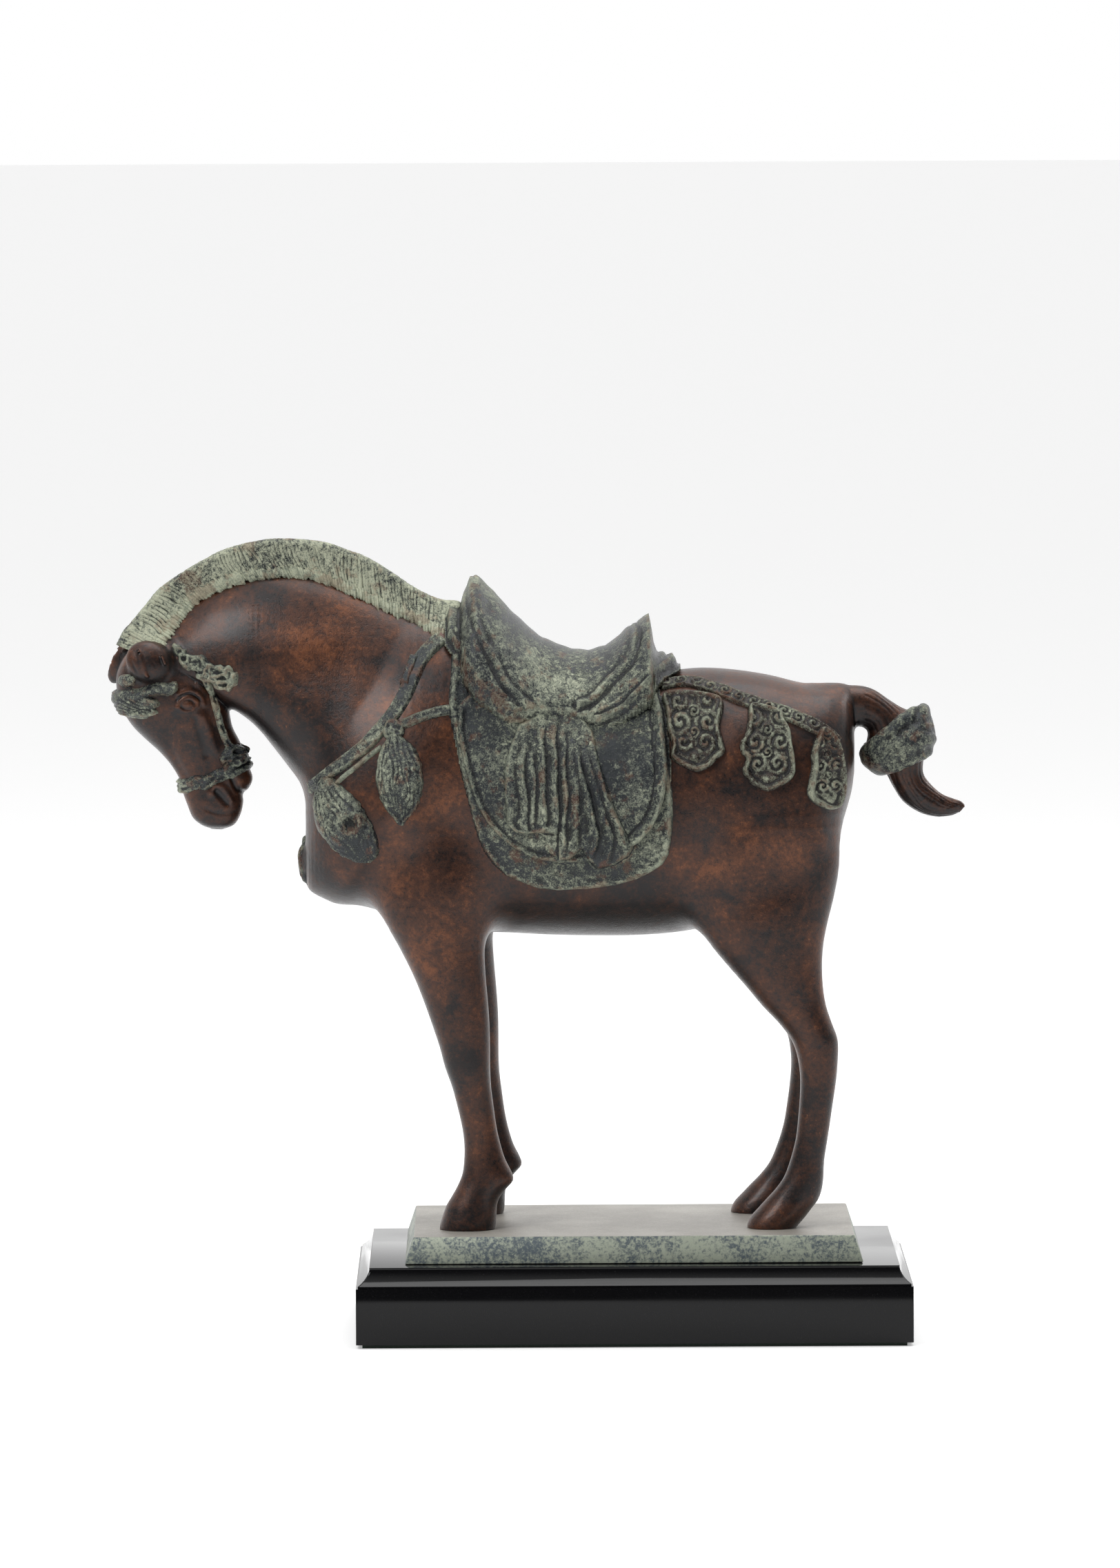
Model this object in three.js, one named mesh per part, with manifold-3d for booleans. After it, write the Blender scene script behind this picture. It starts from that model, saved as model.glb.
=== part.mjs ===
// A saddled bronze horse on a bronze plate, screwed to a lacquered wooden plinth.
// Millimetres, +Z up. The head looks along -X, the near side is -Y, and the origin is the
// middle of the felt's underside, on the surface that the statue stands on.

import * as THREE from "three";
import { mergeVertices } from "three/addons/utils/BufferGeometryUtils.js";
import Module from "manifold-3d";

const wasm = await Module();
wasm.setup();

// ---------------------------------------------------------------- driving dimensions

const gap = 0.3; // clearance between pieces that touch

// The horse is drawn 328.5 high, soles to crest, and enlarged or reduced from there.
const drawnHeight = 328.5;
const horseHeight = 328.5;
const barrelHalfWidth = 50;
const hoofHalfSpacing = 32.5; // middle of the body to the middle of a hoof
const hindStride = 6.5; // how far the far hind leg stands in front of the near one
const foreStride = 3.5; // how far the far foreleg stands behind the near one
const castingWall = 4;

// Trappings lie on the castings in layers of these thicknesses.
const clothThickness = 2.7;
const skirtThickness = 2;
const drapeThickness = 3;
const strapThickness = 2.5;
const pendantThickness = 3.6;
const tasselThickness = 7;
const strapWidth = 7.5;
const sideStrapWidth = 5;
const bridleWidth = 5;
const bridleThickness = 2;
const tieThickness = 2.6;
const rosetteRadius = 4.5;

// The plate reaches past the toes and the hooves' outer sides by its margins.
const plateEndMargin = 12.4;
const plateSideMargin = 20.8;
const plateHeight = 12.6;
const plateDraft = 4.1; // how far its sides lean in from bottom to top
const plateWall = 4;
const bossDiameter = 15;

// The plinth's ledge shows round the plate.
const ledgeLong = 23.2;
const ledgeDeep = 17;
const blockHeight = 27.7;
const coveHeight = 8.3;
const coveInset = 6.4;
const feltThickness = 1.5;
const feltInset = 3;

const screwDiameter = 6;
const screwHeadDiameter = 10;
const screwHeadHeight = 6;
const screwGrip = 8; // thread engaged in the plate's boss
const screwSpacing = 120;
const counterboreDepth = 14;
const washerThickness = 1.2;
const washerFlange = 3; // how far a washer reaches past its screw's head or its nut
const studDiameter = 5;
const studDepth = 14; // how far a stud reaches up into its hoof
const nutAcross = 8;
const nutHeight = 4;

// ---------------------------------------------------------------- levels and spans

const scale = horseHeight / drawnHeight;
const drawnToeReach = 92.3;
const drawnHoofHalfWidth = 11.4;

const plinthBottom = feltThickness + gap;
const plinthTop = plinthBottom + blockHeight + coveHeight;
const plateBottom = plinthTop + gap;
const plateTop = plateBottom + plateHeight;
const soles = plateTop + gap;

const plateTopHalfLength = drawnToeReach * scale + plateEndMargin;
const plateTopHalfDepth = hoofHalfSpacing + drawnHoofHalfWidth * scale + plateSideMargin;
const plateHalfLength = plateTopHalfLength + plateDraft;
const plateHalfDepth = plateTopHalfDepth + plateDraft;
const plinthHalfLength = plateHalfLength + ledgeLong;
const plinthHalfDepth = plateHalfDepth + ledgeDeep;

// ---------------------------------------------------------------- materials

function finish(name, color, roughness, metalness) {
  return new THREE.MeshStandardMaterial({ name, color, roughness, metalness });
}

const brown = finish("brown_bronze", 0x643c2d, 0.38, 0.75);
const verdigris = finish("verdigris_bronze", 0x7f8a78, 0.6, 0.4);
const plateFinish = finish("plate_bronze", 0xa8a898, 0.5, 0.5);
const lacquer = finish("black_lacquer", 0x17171a, 0.22, 0);
const baize = finish("felt", 0x1d2a22, 0.95, 0);
const steel = finish("zinc_steel", 0x9a9da0, 0.35, 1);

// ---------------------------------------------------------------- solids

const statue = new THREE.Group();
const horse = new THREE.Group();
horse.position.z = soles;
statue.add(horse);

function manifoldOf(positions, triangles) {
  const mesh = new wasm.Mesh({ numProp: 3, vertProperties: positions, triVerts: triangles });
  return new wasm.Manifold(mesh);
}

// A closed three.js geometry as a solid that can be cut and joined, its faces turned out.
function solid(geometry) {
  const bare = new THREE.BufferGeometry();
  const source = geometry.index ? geometry.toNonIndexed() : geometry;
  bare.setAttribute("position", source.getAttribute("position"));
  const merged = mergeVertices(bare, 1e-4);
  const triangles = new Uint32Array(merged.index.array);
  const made = manifoldOf(merged.attributes.position.array, triangles);
  return made.volume() > 0 ? made : manifoldOf(merged.attributes.position.array, triangles.reverse());
}

function place(group, name, piece, material) {
  const { vertProperties, triVerts } = piece.getMesh();
  const geometry = new THREE.BufferGeometry();
  geometry.setAttribute("position", new THREE.BufferAttribute(vertProperties, 3));
  geometry.setIndex(new THREE.BufferAttribute(triVerts, 1));
  geometry.computeVertexNormals();
  const mesh = new THREE.Mesh(geometry, material);
  mesh.name = name;
  group.add(mesh);
}

// A skin over rings of points, one after another, closed by a fan at each end.
function loft(rings) {
  const around = rings[0].length;
  const points = rings.flat();
  const faces = [];
  for (let ring = 0; ring < rings.length - 1; ring++) {
    for (let i = 0; i < around; i++) {
      const a = ring * around + i;
      const b = ring * around + ((i + 1) % around);
      faces.push(a, b, b + around, a, b + around, a + around);
    }
  }
  for (let i = 1; i < around - 1; i++) {
    const last = points.length - around;
    faces.push(0, i + 1, i, last, last + i, last + i + 1);
  }
  const geometry = new THREE.BufferGeometry().setFromPoints(points);
  geometry.setIndex(faces);
  return solid(geometry);
}

// An upright cylinder, its sides parted evenly.
function cylinder(radius, bottom, top, x = 0, y = 0, sides = 16) {
  const geometry = new THREE.CylinderGeometry(radius, radius, top - bottom, sides);
  geometry.rotateX(Math.PI / 2);
  geometry.translate(x, y, (bottom + top) / 2);
  return solid(geometry);
}

// A stack of rectangles, each given as how far it is drawn in and its height.
function stack(halfLength, halfDepth, levels) {
  const corners = [[1, 1], [-1, 1], [-1, -1], [1, -1]];
  return loft(levels.map(([inset, z]) => corners.map(([along, across]) =>
    new THREE.Vector3(along * (halfLength - inset), across * (halfDepth - inset), z))));
}

// ---------------------------------------------------------------- the horse's forms

// One ring of a form, an oval that spans two points of the side view. Growing the form
// moves the ring's skin out by the same amount.
const ringSides = 16;
function ring([ax, az], [bx, bz], halfWidth, y, grow, shift, boxiness = 1) {
  const middle = new THREE.Vector3((ax + bx) / 2, y, (az + bz) / 2);
  const reach = new THREE.Vector3((ax - bx) / 2, 0, (az - bz) / 2);
  const length = reach.length();
  reach.multiplyScalar((length + grow) / length);
  middle.add(shift);
  return Array.from({ length: ringSides }, (_, i) => {
    const turn = (2 * Math.PI * i) / ringSides;
    const up = Math.cos(turn);
    const out = Math.sign(Math.sin(turn)) * Math.abs(Math.sin(turn)) ** boxiness;
    return middle.clone().addScaledVector(reach, up).add(new THREE.Vector3(0, (halfWidth + grow) * out, 0));
  });
}

// A form lofted through stations [ax, az, bx, bz, half width, y], drawn at drawnHeight.
function form(stations, grow, boxiness) {
  const sized = stations.map(([ax, az, bx, bz, halfWidth, y = 0]) => ({
    a: [ax * scale, az * scale],
    b: [bx * scale, bz * scale],
    halfWidth,
    y,
  }));
  const centre = ({ a, b, y }) => new THREE.Vector3((a[0] + b[0]) / 2, y, (a[1] + b[1]) / 2);
  return loft(sized.map((station, i) => {
    const shift = new THREE.Vector3();
    const end = i === 0 ? 1 : i === sized.length - 1 ? i - 1 : -1;
    if (end >= 0) shift.subVectors(centre(station), centre(sized[end])).setLength(Math.abs(grow));
    if (grow < 0) shift.negate();
    return ring(station.a, station.b, station.halfWidth, station.y, grow, shift, boxiness);
  }));
}

// Chest to buttocks: x, back, belly, and how much narrower than the barrel.
const torsoStations = [
  [-154, 184, 161, 38],
  [-150, 204, 157, 24],
  [-140, 232, 154.5, 14],
  [-122, 262, 150, 8],
  [-105, 280, 143, 6],
  [-85, 286, 140, 5],
  [-60, 275, 139, 3],
  [-30, 264, 137.5, 1],
  [0, 262, 137.5, 0],
  [25, 265, 141, 1],
  [45, 265, 147, 2],
  [65, 262.5, 155, 3],
  [82, 259, 163, 7],
  [95, 256, 178, 15],
  [103, 250, 200, 26],
  [106.5, 240, 211, 38],
];
function torso(grow) {
  const stations = torsoStations.map(([x, top, bottom, narrower]) =>
    [x, top, x, bottom, barrelHalfWidth - narrower]);
  return form(stations, grow, 0.86);
}

// Withers to poll: crest point, throat point, half width.
function neck(grow) {
  return form([
    [-80, 284, -152, 168, 40],
    [-97, 291, -154.5, 190, 35],
    [-115, 299, -156, 206, 31],
    [-135, 307, -163, 217, 27],
    [-155, 311, -170, 228, 25],
    [-175, 311, -178, 238, 23],
    [-195, 305, -187, 245, 20],
    [-211, 296, -192, 249, 18],
    [-226, 284, -197, 255, 14],
  ], grow);
}

// Lips to poll: face point, jaw point, half width.
function head(grow) {
  return form([
    [-205, 191, -192, 191, 7],
    [-210.5, 196, -186, 199, 10],
    [-214, 204, -183, 207.5, 11],
    [-216, 211, -181, 213, 11],
    [-220, 219, -184, 223, 12],
    [-228, 229, -188, 232, 14],
    [-236, 235, -191, 243, 16],
    [-241, 242, -191, 254, 17.5],
    [-245, 252, -199, 266, 18],
    [-246, 265, -207, 279, 17],
    [-239, 278, -217, 288, 11],
  ], grow);
}

// Sole to shoulder: height, front, back, half width, how far in from the hoof.
const foreleg = [
  [0, -91.5, -67, 11.4, 0],
  [5, -91.5, -65.5, 11, 0],
  [18, -85, -61.5, 9, 0],
  [24, -82, -57.5, 8.5, 0],
  [37, -80.5, -62.5, 7.5, 0],
  [54, -83, -66, 8, 0],
  [80, -90, -68, 10, 0],
  [100, -96, -68.5, 11.5, 0],
  [124, -105, -70, 13, 0],
  [142, -116, -69, 15, 1],
  [160, -122, -66, 18, 5],
  [185, -118, -72, 18, 12],
  [205, -110, -82, 12, 18],
];

// Sole to haunch.
const hindLeg = [
  [0, 55.5, 79, 11, 0],
  [5, 56, 82, 10.5, 0],
  [14, 66, 89, 9, 0],
  [26, 73, 91, 8, 0],
  [47, 78.5, 93.5, 7.5, 0],
  [69, 80, 97, 8, 0],
  [87, 77.5, 97.8, 9.5, 0],
  [99, 69.5, 94.5, 10.5, 0],
  [113, 57, 90.5, 12, 0],
  [130, 42, 91, 14, 0],
  [144, 31, 94, 16, 1],
  [165, 34, 98, 18, 5],
  [190, 45, 98, 18, 12],
  [212, 58, 90, 12, 18],
];

function leg(stations, side, forward, grow) {
  return form(stations.map(([z, front, back, halfWidth, inward]) => {
    const high = z / stations.at(-1)[0];
    const lead = forward * (1 - high);
    return [front - lead, z, back - lead, z, halfWidth, side * (hoofHalfSpacing - inward)];
  }), grow);
}

const legs = [
  { name: "foreleg_near", stations: foreleg, side: -1, forward: 0, hoofMiddle: -79 },
  { name: "foreleg_far", stations: foreleg, side: 1, forward: -foreStride, hoofMiddle: -79 },
  { name: "hind_leg_near", stations: hindLeg, side: -1, forward: 0, hoofMiddle: 68 },
  { name: "hind_leg_far", stations: hindLeg, side: 1, forward: hindStride, hoofMiddle: 68 },
];
const legForm = (which, grow) => leg(which.stations, which.side, which.forward, grow);
const studPlace = ({ hoofMiddle, forward, side }) =>
  [(hoofMiddle - forward) * scale, side * hoofHalfSpacing];

// Dock to tip: outer point, inner point, half width.
function tail(grow) {
  return form([
    [100, 257, 100, 238, 9],
    [113, 256.5, 108, 239.5, 9],
    [122, 251.5, 113, 234, 9],
    [132, 244.5, 112.5, 227, 9.5],
    [141, 235, 115, 221, 10],
    [141, 223, 121, 216, 9],
    [140, 215, 125, 209, 7.5],
    [144, 209, 131, 200, 6.5],
    [150, 204, 141, 194, 5],
    [156, 202, 151, 192.5, 3.5],
    [160, 199.5, 158.5, 195, 1.5],
  ], grow);
}

// Poll to withers, standing up from the crest of the neck.
function mane(grow) {
  return form([
    [-241, 287, -226, 276, 5],
    [-236, 293, -218, 283, 6.5],
    [-225, 305, -208, 290, 7],
    [-205, 318, -195, 300, 7],
    [-185, 326, -180, 305, 7],
    [-165, 328.5, -165, 306, 7],
    [-145, 326.5, -149, 303, 7],
    [-125, 319, -132, 298, 7],
    [-105, 306, -112, 290, 7],
    [-92, 299.5, -98, 283, 6.5],
    [-84, 298, -88, 281, 5],
  ], grow);
}

// Everything that the trappings lie on, and the head's own part of it.
const joined = (solids) => solids.reduce((sum, each) => sum.add(each));
const figures = new Map();
function figure(grow) {
  if (!figures.has(grow)) {
    figures.set(grow, joined([torso(grow), neck(grow), ...legs.map((each) => legForm(each, grow))]));
  }
  return figures.get(grow);
}
const headAndNeck = (grow) => head(grow).add(neck(grow));

// A side-view outline pushed through the horse, on the near side, the far side or both.
const sideReach = 90;
function prism(outline, side = 0) {
  const shape = new THREE.Shape(outline.map(([x, z]) => new THREE.Vector2(x * scale, z * scale)));
  const depth = side === 0 ? 2 * sideReach : sideReach;
  const geometry = new THREE.ExtrudeGeometry(shape, { depth, bevelEnabled: false, steps: 1 });
  geometry.rotateX(Math.PI / 2);
  geometry.translate(0, side < 0 ? 0 : sideReach, 0);
  return solid(geometry);
}

// A strap's outline, laid along a smooth curve through its points.
function strap(points, width, steps = 8) {
  const curve = new THREE.SplineCurve(points.map(([x, z]) => new THREE.Vector2(x, z)));
  const left = [];
  const right = [];
  for (let i = 0; i <= steps; i++) {
    const at = curve.getPoint(i / steps);
    const along = curve.getTangent(i / steps);
    left.push([at.x - (along.y * width) / 2, at.y + (along.x * width) / 2]);
    right.unshift([at.x + (along.y * width) / 2, at.y - (along.x * width) / 2]);
  }
  return [...left, ...right];
}

// A trapping: what an outline cuts from the layer between two skins of the castings.
function layer(skin, outline, side, under, over) {
  return prism(outline, side).intersect(skin(over)).subtract(skin(under));
}

// ---------------------------------------------------------------- castings

function torsoCasting() {
  return torso(0).subtract(torso(-castingWall)).subtract(neck(-castingWall));
}

function neckCasting() {
  return neck(0).subtract(torso(gap)).subtract(neck(-castingWall));
}

// An ear is a flattened egg, rooted in the poll.
function ear(x, y, z, pitch, turn, grow) {
  const geometry = new THREE.SphereGeometry(1, 12, 8);
  geometry.scale(8.5 * scale + grow, 5 + grow, 11 * scale + grow);
  geometry.rotateX(turn);
  geometry.rotateY(pitch);
  geometry.translate(x * scale, y, z * scale);
  return solid(geometry);
}

function ears(grow) {
  return ear(-228, -16, 271, -0.3, 0.5, grow).add(ear(-240, 13, 271, -0.5, -0.3, grow));
}

function headCasting() {
  return head(0).add(ears(0)).subtract(neck(gap));
}

function legCasting(which) {
  const [x, y] = studPlace(which);
  const socket = cylinder(studDiameter / 2 + gap, -1, studDepth + gap, x, y);
  return legForm(which, 0).subtract(torso(gap)).subtract(socket);
}

place(horse, "torso_casting", torsoCasting(), brown);
place(horse, "neck_casting", neckCasting(), brown);
place(horse, "head_casting", headCasting(), brown);
legs.forEach((which) => place(horse, which.name, legCasting(which), brown));
place(horse, "tail_casting", tail(0).subtract(torso(gap)), brown);
place(horse, "mane_crest", mane(0).subtract(neck(gap)).subtract(head(gap)).subtract(torso(gap)), verdigris);

const tieOutline = [[104, 231], [118, 216], [150, 229], [146, 246], [128, 243]];
place(horse, "tail_tie", layer(tail, tieOutline, 0, gap, gap + tieThickness), verdigris);

// ---------------------------------------------------------------- saddle

const clothTop = gap + clothThickness;
const skirtTop = clothTop + gap + skirtThickness;
const drapeTop = skirtTop + gap + drapeThickness;

const clothOutline = [
  [-80, 310], [-85, 282], [-87, 255], [-83, 234], [-78, 207], [-73, 188], [-66, 176], [-53, 167],
  [-35, 163], [-12, 164.5], [6, 169], [16, 176], [19, 189], [19.5, 200], [17.5, 219], [14, 248],
  [13, 261], [23, 268], [23, 310],
];
place(horse, "saddle_cloth", layer(figure, clothOutline, 0, gap, clothTop).subtract(mane(gap)), verdigris);

// The seat is a hammock-shaped block between pommel and cantle, hollowed over the cloth.
const seatOutline = [
  [-79, 301], [-74, 309], [-65, 299], [-50, 283.5], [-35, 273.5], [-20, 270.5], [-8, 275],
  [2, 285], [9, 290], [12, 272], [10, 262], [-5, 249], [-19, 244.5], [-47, 244.5], [-58, 257],
  [-67, 272], [-76, 290],
];
function seatForm() {
  const station = (x, top, halfWidth) => [x, top, x, 190, halfWidth];
  return form([
    station(-82, 309, 27),
    station(-70, 309, 33),
    station(-50, 290, 41),
    station(-20, 275, 47),
    station(2, 290, 46),
    station(14, 292, 42),
  ], 0);
}
place(horse, "saddle_seat", prism(seatOutline).intersect(seatForm()).subtract(figure(clothTop + gap)), verdigris);

const skirtOutline = [
  [-83, 242], [-80, 224], [-75, 208], [-68, 195], [-57, 184], [-45, 178.5], [-30, 176],
  [-10, 177], [3, 184], [12, 197], [17, 219], [15, 242],
];
const drapeOutline = [
  [-53, 240], [-60, 224], [-60, 209], [-57, 195], [-50, 190.5], [-41, 192], [-38, 181],
  [-28, 177.5], [-14, 178], [-1, 184.5], [-8, 200], [-17, 225], [-19, 240],
];

// ---------------------------------------------------------------- harness

const collarLine = [[-93, 277], [-103, 263], [-110, 247], [-121, 237], [-135, 225], [-146, 216]];
const sideStrapLine = [[-109, 244], [-98, 247], [-89, 248]];
const shoulderTassel = [
  [-113, 240], [-105, 234], [-100, 224], [-101, 210], [-109, 192], [-117, 210], [-118, 224],
];
const chestTassel = [
  [-146, 215], [-149, 205], [-147.5, 194], [-142, 186], [-135, 179], [-124, 176], [-122, 181],
  [-127, 190], [-131, 200], [-138, 212],
];
const crupperLine = [[17, 257], [34, 257.5], [50, 253], [66, 247.5], [80, 242.5], [92, 236]];
const pendants = [
  [[18, 256], [17, 240], [18.5, 229], [24, 222.5], [31, 219], [38, 222], [44, 229], [43, 240], [42, 254]],
  [[57, 251], [54, 237], [51, 231], [52.5, 218], [58, 212], [65, 209.5], [71, 212], [77.5, 218],
    [77.5, 226], [75, 237], [72, 246]],
  [[89, 239], [85.5, 229], [83.5, 216], [83.5, 207], [88, 201.5], [93, 199.5], [98, 203], [101, 214],
    [99.5, 226], [96, 235]],
];

for (const [side, label] of [[-1, "near"], [1, "far"]]) {
  const worn = (outline, under, thickness) => layer(figure, outline, side, under, under + thickness);
  const clearOf = (line, width) => prism(strap(line, width + 2 * gap), side);

  place(horse, `saddle_skirt_${label}`, worn(skirtOutline, clothTop + gap, skirtThickness), verdigris);
  place(horse, `saddle_drape_${label}`, worn(drapeOutline, skirtTop + gap, drapeThickness), verdigris);

  const collar = worn(strap(collarLine, strapWidth), gap, strapThickness);
  const sideStrap = worn(strap(sideStrapLine, sideStrapWidth), gap, strapThickness);
  place(horse, `breast_collar_${label}`, collar.add(sideStrap), verdigris);
  for (const [name, outline] of [["shoulder", shoulderTassel], ["chest", chestTassel]]) {
    const tassel = worn(outline, gap, tasselThickness).subtract(clearOf(collarLine, strapWidth));
    place(horse, `${name}_tassel_${label}`, tassel, verdigris);
  }

  place(horse, `crupper_${label}`, worn(strap(crupperLine, strapWidth), gap, strapThickness), verdigris);
  pendants.forEach((outline, i) => {
    const pendant = worn(outline, gap, pendantThickness).subtract(clearOf(crupperLine, strapWidth));
    place(horse, `crupper_pendant_${label}_${i + 1}`, pendant, verdigris);
  });
}

// The tassel that hangs at the middle of the chest.
function frontTassel() {
  const geometry = new THREE.SphereGeometry(1, 14, 10);
  geometry.scale(8 * scale, 9, 15 * scale);
  geometry.rotateY(0.12);
  geometry.translate(-151.5 * scale, 0, 173 * scale);
  return solid(geometry).subtract(figure(gap));
}
place(horse, "front_tassel", frontTassel(), verdigris);

// ---------------------------------------------------------------- bridle

const noseLine = [[-222, 209], [-198, 211], [-174, 217]];
const cheekLine = [[-214, 274], [-206, 266], [-200, 256], [-197, 242], [-191, 229]];
const browOutline = [
  [-252, 262], [-252, 240], [-243, 240], [-232, 243], [-226, 249], [-218, 254], [-218, 259], [-232, 262],
];
place(horse, "noseband", layer(head, strap(noseLine, bridleWidth), 0, gap, gap + bridleThickness), verdigris);
const brow = layer(head, browOutline, 0, gap, gap + bridleThickness).subtract(ears(gap));
place(horse, "browband", brow, verdigris);
const rosettes = [[-207, 267], [-191, 226]];
const disc = ([x, z]) => Array.from({ length: 10 }, (_, i) => [
  x + rosetteRadius * Math.cos((i / 5) * Math.PI),
  z + rosetteRadius * Math.sin((i / 5) * Math.PI),
]);
for (const [side, label] of [[-1, "near"], [1, "far"]]) {
  const worn = (outline) => layer(headAndNeck, outline, side, gap, gap + bridleThickness);
  const cheek = joined([strap(cheekLine, bridleWidth), ...rosettes.map(disc)].map(worn));
  place(horse, `cheekpiece_${label}`, cheek, verdigris);
}

// ---------------------------------------------------------------- plate, plinth and felt

const ceiling = plateTop - plateWall;
const screwPlaces = [-screwSpacing / 2, screwSpacing / 2];

function basePlate() {
  const outer = stack(plateHalfLength, plateHalfDepth, [[0, plateBottom], [plateDraft, plateTop]]);
  const tray = stack(plateHalfLength - plateWall, plateHalfDepth - plateWall, [
    [0, plateBottom - 1],
    [plateDraft, ceiling],
  ]);
  const bosses = screwPlaces.map((x) => cylinder(bossDiameter / 2, plateBottom, ceiling + 1, x));
  const tapped = screwPlaces.map((x) =>
    cylinder(screwDiameter / 2 + gap, plateBottom - 1, plateBottom + screwGrip + gap, x));
  const studHoles = legs.map((which) =>
    cylinder(studDiameter / 2 + gap, ceiling - 1, plateTop + 1, ...studPlace(which)));
  const cast = joined([outer.subtract(tray), ...bosses]);
  return cast.subtract(joined([...tapped, ...studHoles]));
}

// A cove between two small fillets, from the block's edge in and up to the top.
function plinth() {
  const blockTop = plinthBottom + blockHeight;
  const steps = 6;
  const cove = Array.from({ length: steps + 1 }, (_, i) => {
    const turn = (i / steps) * (Math.PI / 2);
    return [coveInset * Math.sin(turn), blockTop + coveHeight * (1 - Math.cos(turn))];
  });
  const body = stack(plinthHalfLength, plinthHalfDepth, [[0, plinthBottom], ...cove]);
  const bores = screwPlaces.flatMap((x) => [
    cylinder(screwDiameter / 2 + gap, plinthBottom - 1, plinthTop + 1, x),
    cylinder(screwHeadDiameter / 2 + washerFlange + gap, plinthBottom - 1, plinthBottom + counterboreDepth, x),
  ]);
  return body.subtract(joined(bores));
}

place(statue, "base_plate", basePlate(), plateFinish);
place(statue, "plinth", plinth(), lacquer);
place(statue, "felt_pad", stack(plinthHalfLength - feltInset, plinthHalfDepth - feltInset,
  [[0, 0], [0, feltThickness]]), baize);

// ---------------------------------------------------------------- fasteners

function washer(boltDiameter, outerDiameter, bottom, x, y) {
  const disc = cylinder(outerDiameter / 2, bottom, bottom + washerThickness, x, y);
  return disc.subtract(cylinder(boltDiameter / 2 + gap, bottom - 1, bottom + washerThickness + 1, x, y));
}

// A socket-head screw that stands on its head.
function plinthScrew(x, seat) {
  const head = cylinder(screwHeadDiameter / 2, seat - screwHeadHeight, seat, x);
  const shank = cylinder(screwDiameter / 2, seat - 1, plateBottom + screwGrip, x);
  const socket = cylinder(screwDiameter / 2, seat - screwHeadHeight - 1, seat - screwHeadHeight / 2, x, 0, 6);
  return head.add(shank).subtract(socket);
}

screwPlaces.forEach((x, i) => {
  const end = i === 0 ? "front" : "rear";
  const washerBottom = plinthBottom + counterboreDepth - gap - washerThickness;
  place(statue, `plinth_washer_${end}`,
    washer(screwDiameter, screwHeadDiameter + 2 * washerFlange, washerBottom, x, 0), steel);
  place(statue, `plinth_screw_${end}`, plinthScrew(x, washerBottom - gap), steel);
});

// Each hoof is held by a stud, with a washer and a nut inside the plate.
legs.forEach((which) => {
  const [x, y] = studPlace(which);
  const washerBottom = ceiling - gap - washerThickness;
  const nutBottom = washerBottom - gap - nutHeight;
  const nut = cylinder(nutAcross / 2, nutBottom, nutBottom + nutHeight, x, y, 6);
  const thread = cylinder(studDiameter / 2 + gap, nutBottom - 1, nutBottom + nutHeight + 1, x, y);
  const stud = cylinder(studDiameter / 2, nutBottom - gap, soles + studDepth, x, y);
  place(statue, `${which.name}_stud`, stud, steel);
  place(statue, `${which.name}_washer`, washer(studDiameter, nutAcross + washerFlange, washerBottom, x, y), steel);
  place(statue, `${which.name}_nut`, nut.subtract(thread), steel);
});

export default statue;
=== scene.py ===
"""A saddled bronze horse on its plate and lacquered plinth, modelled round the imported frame.

The horse's own frame has its soles at z = 0, and its shapes are given there in millimetres.
"""

import math

import bmesh
import bpy
import numpy as np
from mathutils import Matrix, Vector


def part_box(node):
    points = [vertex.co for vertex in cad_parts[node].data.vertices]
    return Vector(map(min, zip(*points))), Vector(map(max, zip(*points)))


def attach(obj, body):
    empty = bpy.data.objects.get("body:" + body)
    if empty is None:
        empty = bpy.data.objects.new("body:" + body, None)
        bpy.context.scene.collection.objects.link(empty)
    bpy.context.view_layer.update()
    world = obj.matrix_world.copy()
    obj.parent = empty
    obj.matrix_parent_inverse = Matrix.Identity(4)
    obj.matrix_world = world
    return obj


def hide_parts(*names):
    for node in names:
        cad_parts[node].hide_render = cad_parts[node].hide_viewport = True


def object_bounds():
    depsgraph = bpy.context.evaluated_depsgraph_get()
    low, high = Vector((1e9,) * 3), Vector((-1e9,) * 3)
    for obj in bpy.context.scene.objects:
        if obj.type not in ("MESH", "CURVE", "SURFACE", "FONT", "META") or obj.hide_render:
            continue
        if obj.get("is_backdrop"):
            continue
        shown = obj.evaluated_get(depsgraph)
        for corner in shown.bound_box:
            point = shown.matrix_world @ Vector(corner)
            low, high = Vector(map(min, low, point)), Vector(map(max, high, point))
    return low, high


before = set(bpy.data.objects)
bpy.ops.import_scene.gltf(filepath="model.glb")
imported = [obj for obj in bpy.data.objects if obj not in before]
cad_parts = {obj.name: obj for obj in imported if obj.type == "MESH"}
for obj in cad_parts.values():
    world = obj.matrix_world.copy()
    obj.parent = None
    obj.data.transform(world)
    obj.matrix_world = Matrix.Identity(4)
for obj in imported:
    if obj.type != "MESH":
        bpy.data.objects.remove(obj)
cad_box = [list(corner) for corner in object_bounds()]

bl_info = {
    "name": "Saddled bronze horse",
    "version": (1, 0, 0),
    "blender": (4, 5, 0),
    "location": "View3D > Sidebar > Bronze horse",
    "description": "Sculpts a saddled bronze horse, its trappings and its plinth, and patinates them",
    "category": "Object",
}

MM = 0.001
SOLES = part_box("foreleg_near")[0].z / MM
DRAWN_HEIGHT = 328.5
SCALE = (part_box("mane_crest")[1].z / MM - SOLES) / DRAWN_HEIGHT
SPACING = (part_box("foreleg_near_stud")[1].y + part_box("foreleg_near_stud")[0].y) / -2 / MM

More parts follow.
